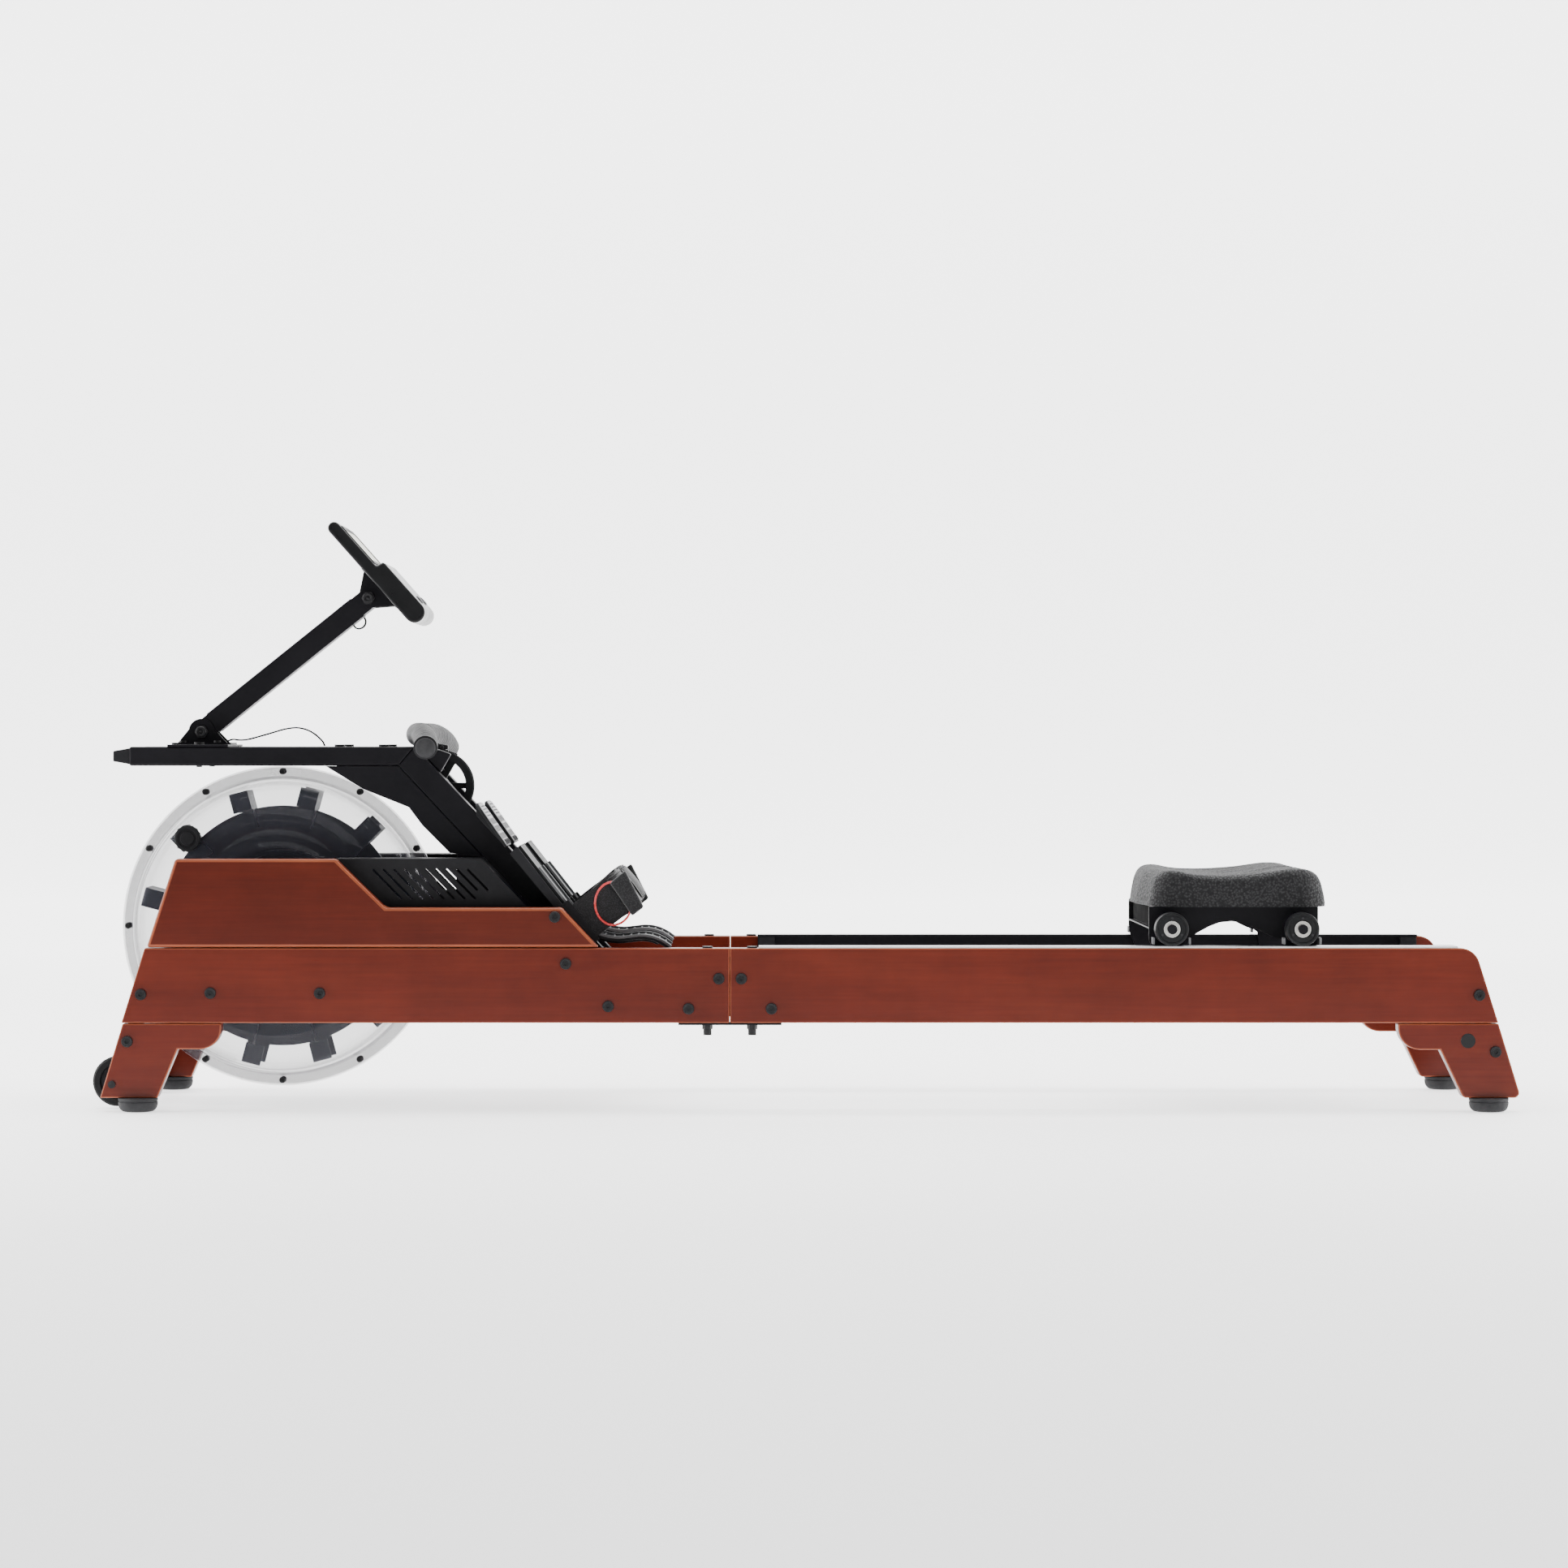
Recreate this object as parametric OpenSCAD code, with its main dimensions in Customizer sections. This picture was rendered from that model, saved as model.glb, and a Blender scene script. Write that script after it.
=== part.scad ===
// Rowing machine with a water tank: wooden frame, folding monitor arm, sliding seat.
// Millimetres, +Z up, +X towards the seat end, -Y is the rower's left side.
// The origin is the centre of the bottom of the bounding box.

/* [Wooden frame] */
// Distance from the middle plane to the outer faces of the side boards
frame_half_w = 185; // [180:1:195]
// Thickness of the side boards
board_t = 25; // [22:1:28]
// Height of the bottom edge of the rails
rail_z0 = 119; // [117:1:120]
// Height of the rails
rail_h = 100; // [98:1:100]
// Height of the wooden tank panel's top edge
panel_top_z = 338.7; // [336:0.1:340]

/* [Water tank] */
// Position of the tank axis along the frame
tank_x = -717; // [-718:1:-716]
// Height of the tank axis
tank_z = 241.5; // [241:0.5:242]
// Outer radius of the tank flange
tank_flange_r = 221; // [219:0.5:221]
// Half thickness of the tank over its flat faces
tank_half_t = 80; // [78:1:80]
// Number of flange screws and of impeller paddles
tank_screw_count = 12; // [12:6:12]

/* [Steel post and top tubes] */
// Distance from the middle plane to the centres of the tubes
tube_y = 69; // [68:1:70]
// Width of the tubes
tube_w = 30; // [28:1:30]
// Height of the top tubes
top_tube_h = 26; // [24:1:26]
// Height of the top tubes' upper face
top_tube_z = 489; // [488:1:489]
// Depth of the inclined post tubes
post_d = 34; // [32:1:34]
// Slope of the post tubes below the horizontal
post_angle = 47; // [47:0.5:47]

/* [Seat] */
// Radius of the seat wheels
seat_wheel_r = 22.5; // [22:0.1:22.5]
// Position of the front seat axle
seat_front_x = 494.7; // [480:1:500]
// Distance between the front and rear seat axles
seat_axle_gap = 175.2; // [170:1:180]
// Width of the seat pad
seat_w = 326; // [300:1:330]

/* [Monitor and arm] */
// Distance between the arm's two pivots
arm_len = 294.9; // [280:1:300]
// Rise of the arm above the horizontal
arm_angle = 38.7; // [35:0.1:45]
// Width of the monitor
monitor_w = 172; // [160:1:180]
// Slope of the monitor below the horizontal
monitor_angle = 48.4; // [45:0.1:52]

/* [Handle] */
// Length of the handle across the machine
handle_len = 440; // [430:1:440]
// Outer radius of the handle grips
grip_r = 16; // [15:0.1:16.2]

/* [Hidden] */
$fn = 48;
inner_y = frame_half_w - board_t;
rail_top = rail_z0 + rail_h;
fit = 0.2;
bolt_r = 4;
bolt_hole_r = 4.2;
head_r = 6.8;
pin_gap = 0.05;

// Frame joints along the machine
seam_x = -98.5;
seam_gap = 0.5;
joint_bolt_xs = [-128, -68];
rail_mid_y = frame_half_w - board_t / 2;
front_rail_bolts = [
  [-887.3, 157.1], [-794.1, 158.9], [-647.5, 158.7], [-317.9, 198.2], [-261, 141.2],
  [-153.3, 138], [-112.7, 178.2]
];
rear_rail_bolts = [[-82.6, 178.2], [-42.2, 138], [906.2, 156.3]];
front_leg_bolts = [[-905.5, 94]];
rear_leg_bolts = [[927.9, 80.3]];
panel_bolts = [[-332.6, 260.9]];
inner_bolts = [[906.2, 156.3], [-317.9, 198.2], [-261, 141.2]];
nut_bolts_on_plates = [
  [-794.1, 158.9], [-647.5, 158.7], [-153.3, 138], [-112.7, 178.2], [-82.6, 178.2],
  [-42.2, 138]
];
plate_t = 5;
leg_plate_t = 4;
rear_slope = 17.4;

// Feet and transport wheels
foot_h = 18.5;
foot_r = 26.5;
foot_y = 178;
front_foot_x = -891.8;
rear_foot_x = 920;
wheel_x = -926;
wheel_z = 36.5;
wheel_r = 34;
wheel_axle_r = 5;
wheel_axle_end_y = 103;

// Inclined posts: a point on the centre line and the directions along and across it
post_x = -517.5;
post_z = 453;
post_dx = cos(post_angle);
post_dz = -sin(post_angle);
post_nx = sin(post_angle);
post_nz = cos(post_angle);
tube_wall = 2;
tube_y0 = tube_y - tube_w / 2;
tube_y1 = tube_y + tube_w / 2;
top_tube_z0 = top_tube_z - top_tube_h;
top_tube_front_x = -918;

// Drive
pulley_x = -501;
pulley_z = 435;
pulley_r = 47;
drum_x = -440;
drum_z = 232;
drum_r = 50;
belt_w = 20;
belt_t = 2;
input_r = 30;
transfer_r = 55;
transfer_y0 = 95;
transfer_y1 = 113;
pulley_axle_r = 6;
drum_axle_r = 8;
shaft_r = 10;

// Monitor arm pivots
arm_x = -827.5;
arm_z = 509.6;
tilt_x = arm_x + arm_len * cos(arm_angle);
tilt_z = arm_z + arm_len * sin(arm_angle);
arm_half = 15;
pivot_r = 5;
cheek_y0 = 15.3;
cheek_t = 3;

// Footrests: the top end of the heel slider's upper face and its slope
foot_x = -381;
foot_z = 356.5;
foot_angle = 52;
foot_mid_y = 98;
foot_half_w = 55;
heel_half_w = 48;

// Seat track
strip_t = 2.6;
track_x0 = -59;
track_x1 = 878;
channel_y0 = 147;
channel_z0 = 184;
channel_t = 2.5;
roller_r = 14;
roller_z = rail_top - 0.3 - roller_r;
seat_wheel_z = rail_top + strip_t + 0.3 + seat_wheel_r;
seat_rear_x = seat_front_x + seat_axle_gap;
carriage_top = 273;

// Cables, as points chosen along their run from the arm bracket to the top tube
sensor_route = [
  [-792, -22, 496.5], [-784, -23, 499], [-774, -26, 498], [-762, -30, 499],
  [-746, -35, 503], [-728, -40, 508], [-710, -45, 513], [-694, -50, 515],
  [-681, -54, 513], [-670, -57, 508], [-662, -60, 502], [-656, -62, 496],
  [-653, -63, 490]
];
// The lead's loop under the arm's upper end, from the upper pivot
lead_route = [
  [-40, 0, -15.6], [-40, 0, -20], [-37.5, 1, -23.6], [-32, 2, -25.4], [-26.5, 2, -24],
  [-23, 1, -20.4], [-22, 0, -16.2]
];
cable_r = 1.1;

function arc(cx, cy, r, a0, a1, n = 12) =
  [for (i = [0:n]) let (a = a0 + (a1 - a0) * i / n) [cx + r * cos(a), cy + r * sin(a)]];
function reversed(p) = [for (i = [len(p) - 1:-1:0]) p[i]];
function unit(v) = v / norm(v);
function along(p, i) = unit(p[min(i + 1, len(p) - 1)] - p[max(i - 1, 0)]);
function shifted(p, d) = [for (i = [0:len(p) - 1]) let (t = along(p, i)) p[i] + d * [t[1], -t[0]]];
function ring(p, i, r, sides, side_dir) =
  let (t = along(p, i), u = unit(cross(t, side_dir)), v = cross(u, t))
  [for (k = [0:sides - 1]) let (a = 360 * k / sides) p[i] + r * (cos(a) * u + sin(a) * v)];

// A solid rod that follows a list of points
module swept_rod(p, r, sides, side_dir) {
  rings = [for (i = [0:len(p) - 1]) each ring(p, i, r, sides, side_dir)];
  walls = [for (i = [0:len(p) - 2], k = [0:sides - 1]) let (m = (k + 1) % sides, a = i * sides)
    [a + k, a + m, a + sides + m, a + sides + k]];
  first = [for (k = [sides - 1:-1:0]) k];
  last = [for (k = [0:sides - 1]) (len(p) - 1) * sides + k];
  polyhedron(rings, concat(walls, [first, last]), convexity = 6);
}

// A sleeve with a round hole that follows a list of points
module swept_sleeve(p, r, hole_r, sides, side_dir) {
  n = len(p);
  half = n * sides;
  rings = concat(
    [for (i = [0:n - 1]) each ring(p, i, r, sides, side_dir)],
    [for (i = [0:n - 1]) each ring(p, i, hole_r, sides, side_dir)]
  );
  outside = [for (i = [0:n - 2], k = [0:sides - 1]) let (m = (k + 1) % sides)
    [i * sides + k, i * sides + m, (i + 1) * sides + m, (i + 1) * sides + k]];
  inside = [for (f = outside) [f[3] + half, f[2] + half, f[1] + half, f[0] + half]];
  first = [for (k = [0:sides - 1]) let (m = (k + 1) % sides) [m, k, half + k, half + m]];
  e = (n - 1) * sides;
  last = [for (k = [0:sides - 1]) let (m = (k + 1) % sides) [e + k, e + m, half + e + m, half + e + k]];
  polyhedron(rings, concat(outside, inside, first, last), convexity = 8);
}

// A board or plate drawn in the X-Z plane, filling y0 to y1
module slab(points, y0, y1) {
  translate([0, y1, 0]) rotate([90, 0, 0]) linear_extrude(y1 - y0) polygon(points);
}

// A round bar along Y, from y0 to y1
module bar(x, z, y0, y1, r) {
  translate([x, y0, z]) rotate([-90, 0, 0]) cylinder(h = y1 - y0, r = r);
}

// A hexagonal bar along Y, from y0 to y1
module hex_bar(x, z, y0, y1, r) {
  translate([x, y0, z]) rotate([-90, 0, 0]) cylinder(h = y1 - y0, r = r, $fn = 6);
}

// The part as drawn on the left side, and its mirror image on the right
module both_sides() {
  children();
  mirror([0, 1, 0]) children();
}

module bolt_holes(points) {
  for (p = points) bar(p[0], p[1], -frame_half_w - 1, -inner_y + 1, bolt_hole_r);
}

module side_board(points, bolts) {
  both_sides() difference() {
    slab(points, -frame_half_w, -inner_y);
    bolt_holes(bolts);
  }
}

module joint_bolt_holes() {
  for (x = joint_bolt_xs, s = [-1, 1])
    translate([x, s * rail_mid_y, rail_z0 - 4]) cylinder(h = rail_h + 8, r = bolt_hole_r);
}

module front_rails() {
  color("sienna") difference() {
    side_board([
      [-913.4, rail_z0], [seam_x - seam_gap, rail_z0], [seam_x - seam_gap, rail_top],
      [-882.4, rail_top]
    ], front_rail_bolts);
    joint_bolt_holes();
  }
}

// The rear rail's upper corner is an arc between its top and its sloping end
rear_corner_r = 26;
rear_end_x = 932;
rear_line = rear_end_x * cos(rear_slope) + rail_z0 * sin(rear_slope);
rear_corner_z = rail_top - rear_corner_r;
rear_corner_x = (rear_line - rear_corner_r - rear_corner_z * sin(rear_slope)) / cos(rear_slope);

module rear_rails() {
  color("sienna") difference() {
    side_board(concat(
      [[seam_x + seam_gap, rail_top], [seam_x + seam_gap, rail_z0], [rear_end_x, rail_z0]],
      arc(rear_corner_x, rear_corner_z, rear_corner_r, rear_slope, 90)
    ), rear_rail_bolts);
    joint_bolt_holes();
  }
}

module tank_panels() {
  panel_step_z = 273.4;
  color("sienna") side_board([
    [-880, rail_top + 1], [-273.5, rail_top + 1], [-323.8, panel_step_z],
    [-559.4, panel_step_z], [-626.3, panel_top_z], [-841.6, panel_top_z]
  ], panel_bolts);
}

module front_legs() {
  color("sienna") both_sides() difference() {
    slab(concat(
      [[-779.7, rail_z0 - 1], [-911.8, rail_z0 - 1], [-942, foot_h], [-865, foot_h], [-838, 83.7]],
      arc(-807.7, 111.7, 28, -90, 0)
    ), -frame_half_w, -inner_y);
    bolt_holes(front_leg_bolts);
    bar(wheel_x, wheel_z, -frame_half_w - 1, -inner_y + 1, wheel_axle_r + fit);
  }
}

module rear_legs() {
  color("sienna") both_sides() difference() {
    slab(concat(
      [[932.2, rail_z0 - 1], [797.7, rail_z0 - 1]],
      arc(826.7, 112, 29, 180, 270),
      [[854, 83]],
      arc(889, 25, 6.5, 205, 270, 4),
      arc(953, 25.5, 7, -90, 15, 5)
    ), -frame_half_w, -inner_y);
    bolt_holes(rear_leg_bolts);
  }
}

// Boards between the two sides, each tilted like the boards it joins
module tilted_board(x, z, angle, length, half_t, half_w) {
  translate([x, 0, z]) rotate([0, angle, 0])
    translate([-length / 2, -half_w, -half_t]) cube([length, 2 * half_w, 2 * half_t]);
}

module cross_boards() {
  color("sienna") difference() {
    union() {
      tilted_board(-905.5, 94, -74, 22, 11, inner_y - leg_plate_t - fit);
      tilted_board(917, 118.3, 74.1, 118, 10, inner_y - fit);
      tilted_board(-289.5, 169.7, post_angle, 120, 9.2, inner_y - fit);
    }
    both_sides() for (p = concat(front_leg_bolts, rear_leg_bolts, inner_bolts))
      bar(p[0], p[1], -inner_y - 1, -115, bolt_hole_r);
  }
}

module joint_plates() {
  splice = [[-166, 126], [-30, 126], [-30, 150], [-68, 190], [-127, 190], [-166, 152]];
  leg_tie = [[-916, 80], [-896, 80], [-873, 170], [-897, 170]];
  color("dimgray") both_sides() {
    difference() {
      slab(splice, -inner_y, -inner_y + plate_t);
      for (p = nut_bolts_on_plates) bar(p[0], p[1], -inner_y - 1, -inner_y + plate_t + 1, bolt_hole_r);
    }
    difference() {
      slab(leg_tie, -inner_y, -inner_y + leg_plate_t);
      for (p = [[-887.3, 157.1], [-905.5, 94]])
        bar(p[0], p[1], -inner_y - 1, -inner_y + leg_plate_t + 1, bolt_hole_r);
    }
    difference() {
      translate([-167, -frame_half_w + 1, rail_z0 - 3]) cube([138.4, board_t - 2, 3]);
      joint_bolt_holes();
    }
  }
}

// The mitre between the top tube and the post runs from the lower to the upper corner
function post_top_x(z) = post_x + (post_d / 2) * post_nx
  - (z - post_z - (post_d / 2) * post_nz) / post_dz * -post_dx;
function post_low_x(z) = post_x - (post_d / 2) * post_nx
  - (z - post_z + (post_d / 2) * post_nz) / post_dz * -post_dx;
mitre_low = [post_low_x(top_tube_z0), top_tube_z0];
mitre_high = [post_top_x(top_tube_z), top_tube_z];
tube_bolt_xs = [-632, -571.6];
mount_bolt_x = -824;

module top_tube() {
  wall = tube_wall;
  difference() {
    slab([[top_tube_front_x, top_tube_z0], mitre_low - [0.3, 0], mitre_high - [0.3, 0],
      [top_tube_front_x, top_tube_z]], -tube_y1, -tube_y0);
    slab([[top_tube_front_x - 1, top_tube_z0 + wall], mitre_low + [-12, wall],
      mitre_high + [-14, -wall], [top_tube_front_x - 1, top_tube_z - wall]],
      -tube_y1 + wall, -tube_y0 - wall);
    for (x = concat(tube_bolt_xs, [mount_bolt_x]))
      translate([x, -tube_y, top_tube_z0 - 1]) cylinder(h = top_tube_h + 2, r = bolt_hole_r);
  }
}

module top_tubes() {
  color("black") both_sides() top_tube();
}

module tube_plug() {
  plug_tip = 22;
  slab([[top_tube_front_x + 10, top_tube_z0 + 2.2], [top_tube_front_x + 10, top_tube_z - 2.2],
    [top_tube_front_x - 1, top_tube_z - 2.2], [top_tube_front_x - plug_tip, top_tube_z - 6],
    [top_tube_front_x - plug_tip, top_tube_z0 + 6], [top_tube_front_x - 1, top_tube_z0 + 2.2]],
    -tube_y1 + 2.2, -tube_y0 - 2.2);
}

module tube_plugs() {
  color("dimgray") both_sides() tube_plug();
}

module monitor_mount_plate() {
  color("black") difference() {
    translate([-866, -tube_y1, top_tube_z + 0.05]) cube([83, 2 * tube_y1, 2.95]);
    for (s = [-1, 1]) translate([mount_bolt_x, s * tube_y, top_tube_z - 1]) cylinder(h = 6, r = bolt_hole_r);
    for (x = [-852, -805], s = [-1, 1]) translate([x, s * 25, top_tube_z - 1]) cylinder(h = 6, r = 3.2);
  }
}

post_len = 438;
module post_tube() {
  // The tube runs along its own X axis and is cut off at the mitre
  difference() {
    translate([post_x, 0, post_z]) rotate([0, post_angle, 0]) difference() {
      translate([-60, -tube_y1, -post_d / 2]) cube([post_len + 25, tube_w, post_d]);
      translate([-12, -tube_y1 + tube_wall, -post_d / 2 + tube_wall])
        cube([post_len, tube_w - 2 * tube_wall, post_d - 2 * tube_wall]);
    }
    slab([mitre_low, mitre_high, mitre_high + [10, 60], mitre_high + [-90, 60],
      mitre_low + [-90, 0]], -tube_y1 - 1, -tube_y0 + 1);
  }
}

module post_tubes() {
  cradle = [[-512.5, 473.2], [-494, 453.2], [-479, 479], [-495.5, 485]];
  color("black") both_sides() {
    post_tube();
    slab(cradle, -tube_y - 8, -tube_y + 8);
  }
}

gusset_y0 = 79;
gusset_y1 = 83;
hanger_y0 = 62;
hanger_y1 = 67;

module gusset_plates() {
  gusset = [
    [-650, top_tube_z0 - 0.3], mitre_low + [-0.5, -0.3], [-435, 338.4], [-480.5, 344.2],
    [-517.8, 381.7], [-536.4, 406.4], [-567.5, 418.8], [-598.6, 431.3]
  ];
  hanger = [[-470, 375.8], [-402, 302.6], [-425, 214], [-455, 214], [-474, 262]];
  color("black") both_sides() {
    slab(gusset, -gusset_y1, -gusset_y0);
    difference() {
      slab(hanger, -hanger_y1, -hanger_y0);
      bar(drum_x, drum_z, -hanger_y1 - 1, -hanger_y0 + 1, drum_axle_r + pin_gap);
    }
  }
}

module vent_cover() {
  slot_top_x = -579.8;
  slot_top_z = 324;
  slot_pitch = 14.2;
  cover_t = 1.5;
  cover_y = 150;
  outline = [[-640, 226], [-330, 226], [-330, 230], [-433, 338], [-640, 338]];
  inside = [[-632, 220], [-331, 220], [-331, 229], [-433.6, 336.5], [-632, 336.5]];
  difference() {
    slab(outline, -cover_y, -tube_y1 - 1);
    slab(inside, -cover_y + cover_t, -tube_y1);
    translate([-660, -cover_y + cover_t, 220]) cube([30, 80, 130]);
    for (i = [0:9]) translate([slot_top_x + i * slot_pitch, -cover_y, slot_top_z])
      rotate([0, 45.6, 0]) translate([0, -1, -1.5]) cube([i > 7 ? 40 : 56.6, 4, 3]);
  }
}

module vent_covers() {
  color("black") both_sides() vent_cover();
}

// Half profile of a tank shell: radius, and distance from the middle plane
shell_profile = [
  [tank_flange_r, 0.9], [tank_flange_r, 7], [206, 7], [203, 40], [196, 70],
  [188, tank_half_t], [62, tank_half_t], [50, 92], [21.05, 92], [21.05, 79], [14, 79],
  [14, 75], [184, 75], [191.5, 67], [198, 38], [200.5, 0.9]
];
screw_ring_r = 213.5;
screw_r = 2.5;
plug_ring_r = 172;
plug_angle = 134.7;
plug_x = tank_x + plug_ring_r * cos(plug_angle);
plug_z = tank_z + plug_ring_r * sin(plug_angle);
plug_stem_r = 12;

module tank_place() {
  translate([tank_x, 0, tank_z]) rotate([90, 0, 0]) children();
}

module screw_holes(r) {
  for (i = [0:tank_screw_count - 1]) rotate([0, 0, 90 + i * 360 / tank_screw_count])
    translate([screw_ring_r, 0, -12]) cylinder(h = 24, r = r, $fn = 24);
}

module left_tank_shell() {
  color("lavender", 0.4) difference() {
    tank_place() difference() {
      rotate_extrude($fn = 96) polygon(shell_profile);
      screw_holes(screw_r + 0.25);
    }
    bar(plug_x, plug_z, -tank_half_t - 2, -70, plug_stem_r);
  }
}

module right_tank_shell() {
  color("lavender", 0.4) mirror([0, 1, 0]) tank_place() difference() {
    rotate_extrude($fn = 96) polygon(shell_profile);
    screw_holes(screw_r + 0.25);
  }
}

module tank_seal() {
  color("black") tank_place() difference() {
    translate([0, 0, -0.8]) cylinder(h = 1.6, r = 219);
    translate([0, 0, -2]) cylinder(h = 4, r = 203);
    screw_holes(screw_r + 0.4);
  }
}

module tank_screws() {
  color("black") tank_place() for (i = [0:tank_screw_count - 1])
    rotate([0, 0, 90 + i * 360 / tank_screw_count]) translate([screw_ring_r, 0, 0]) {
      translate([0, 0, -10.5]) cylinder(h = 17.5, r = screw_r, $fn = 24);
      translate([0, 0, 7.05]) cylinder(h = 3, r = 4.3, $fn = 24);
      translate([0, 0, -11]) cylinder(h = 3.9, r = 4.6, $fn = 6);
    }
}

module tank_bearings() {
  color("silver") both_sides() tank_place() translate([0, 0, 79.1]) difference() {
    cylinder(h = 12, r = 21);
    translate([0, 0, -1]) cylinder(h = 14, r = shaft_r + pin_gap);
  }
}

module tank_brackets() {
  standoff = 56.6;
  plate = concat(
    [[-815, 135], [-625, 135], [-625, 185]],
    arc(tank_x, tank_z, 92, -10, 190, 20),
    [[-815, 185]]
  );
  color("dimgray") both_sides() {
    difference() {
      slab(plate, -inner_y, -inner_y + plate_t);
      bar(tank_x, tank_z, -inner_y - 1, -inner_y + plate_t + 1, 40);
      for (p = nut_bolts_on_plates) bar(p[0], p[1], -inner_y - 1, -inner_y + plate_t + 1, bolt_hole_r);
    }
    for (i = [-1, 1], k = [-1, 1])
      bar(tank_x + i * standoff, tank_z + k * standoff, -inner_y + plate_t, -tank_half_t - 0.05, 7);
  }
}

module pulley_axles() {
  color("silver") {
    bar(pulley_x, pulley_z, -tube_y0, tube_y0, pulley_axle_r);
    bar(drum_x, drum_z, -68, transfer_y1 + 4, drum_axle_r);
    both_sides() bar(wheel_x, wheel_z, -frame_half_w - 3, -wheel_axle_end_y, wheel_axle_r);
  }
}

// The belt's inner tangent from the drum's right side to the guide pulley's left side
belt_line = [pulley_x - drum_x, pulley_z - drum_z];
belt_len = norm(belt_line);
belt_dir = atan2(belt_line[1], belt_line[0]);
belt_swing = acos((pulley_r + drum_r + belt_t) / belt_len);
drum_touch = belt_dir - belt_swing;
pulley_touch = belt_dir - belt_swing + 180;
belt_gap = 0.4;

module drive_belt() {
  inner_drum = arc(drum_x, drum_z, drum_r + belt_gap, -150, drum_touch, 16);
  outer_drum = arc(drum_x, drum_z, drum_r + belt_gap + belt_t, -150, drum_touch, 16);
  inner_pulley = arc(pulley_x, pulley_z, pulley_r + belt_gap, pulley_touch, 90, 12);
  outer_pulley = arc(pulley_x, pulley_z, pulley_r + belt_gap + belt_t, pulley_touch, 90, 12);
  lead_x = pulley_x + 13;
  lead_z = pulley_z + pulley_r + belt_gap;
  color("darkslategray") slab(concat(
    outer_drum, inner_pulley, [[lead_x, lead_z], [lead_x, lead_z + belt_t]],
    reversed(outer_pulley), reversed(inner_drum)
  ), -belt_w / 2, belt_w / 2);
}

module belt_loop(extra) {
  hull() {
    translate([tank_x, tank_z]) circle(r = input_r + extra, $fn = 40);
    translate([drum_x, drum_z]) circle(r = transfer_r + extra, $fn = 40);
  }
}

module transfer_belt() {
  color("black") translate([0, transfer_y1 - 2, 0]) rotate([90, 0, 0])
    linear_extrude(transfer_y1 - transfer_y0 - 4) difference() {
      belt_loop(3.4);
      belt_loop(0.4);
    }
}

module transfer_pulley() {
  color("dimgray") difference() {
    bar(drum_x, drum_z, transfer_y0, transfer_y1, transfer_r);
    bar(drum_x, drum_z, transfer_y0 - 1, transfer_y1 + 1, drum_axle_r + pin_gap);
    for (a = [30:60:330])
      bar(drum_x + 32 * cos(a), drum_z + 32 * sin(a), transfer_y0 - 1, transfer_y1 + 1, 10);
  }
}

module drive_drum() {
  flange_r = 53;
  color("dimgray") difference() {
    union() {
      bar(drum_x, drum_z, -12, 12, drum_r);
      for (s = [-1, 1]) bar(drum_x, drum_z, s > 0 ? 12 : -15, s > 0 ? 15 : -12, flange_r);
      bar(drum_x, drum_z, -60, 60, 18);
    }
    bar(drum_x, drum_z, 1 - hanger_y0, hanger_y0 - 1, drum_axle_r + pin_gap);
  }
}

module guide_pulley() {
  rim_in = 38;
  color("dimgray") difference() {
    union() {
      difference() {
        bar(pulley_x, pulley_z, -13, 13, pulley_r);
        bar(pulley_x, pulley_z, -14, 14, rim_in);
      }
      for (s = [-1, 1]) difference() {
        bar(pulley_x, pulley_z, s > 0 ? 11 : -13, s > 0 ? 13 : -11, pulley_r + 1.5);
        bar(pulley_x, pulley_z, s > 0 ? 10 : -14, s > 0 ? 14 : -10, rim_in);
      }
      bar(pulley_x, pulley_z, -30, 30, 13);
      for (a = [0:60:300]) translate([pulley_x, -6, pulley_z]) rotate([0, a, 0])
        translate([8, 0, -4]) cube([rim_in - 6, 12, 8]);
    }
    bar(pulley_x, pulley_z, -31, 31, pulley_axle_r + pin_gap);
  }
}

module impeller() {
  color("midnightblue") tank_place() difference() {
    union() {
      difference() {
        union() {
          translate([0, 0, -2.5]) cylinder(h = 5, r = 166);
          translate([0, 0, -36]) cylinder(h = 72, r = 105);
        }
        for (s = [-1, 1]) translate([0, 0, s > 0 ? 2 : -37]) cylinder(h = 35, r = 100);
      }
      translate([0, 0, -40]) cylinder(h = 80, r = 24);
      for (i = [0:tank_screw_count - 1]) rotate([0, 0, 15 + i * 360 / tank_screw_count]) {
        translate([140, -4, -20]) cube([53, 8, 40]);
        translate([166, -2, -34]) cube([27, 24, 3]);
        translate([166, -2, 31]) cube([27, 24, 3]);
        translate([166, -4, -34]) cube([27, 4, 68]);
      }
    }
    translate([0, 0, -41]) cylinder(h = 82, r = shaft_r);
    for (i = [0:5]) rotate([0, 0, 30 + 60 * i]) translate([62, 0, -5]) cylinder(h = 10, r = 15);
  }
}

module impeller_shaft() {
  color("silver") {
    bar(tank_x, tank_z, -91, transfer_y1 + 3, shaft_r);
    bar(tank_x, tank_z, transfer_y0, transfer_y1, input_r);
  }
}

module fill_plug() {
  cap_t = 8;
  color("black") {
    bar(plug_x, plug_z, -tank_half_t - cap_t - 0.3, -tank_half_t - 0.3, 18);
    bar(plug_x, plug_z, -tank_half_t - 0.3, -72, plug_stem_r - 0.08);
  }
}

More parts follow.
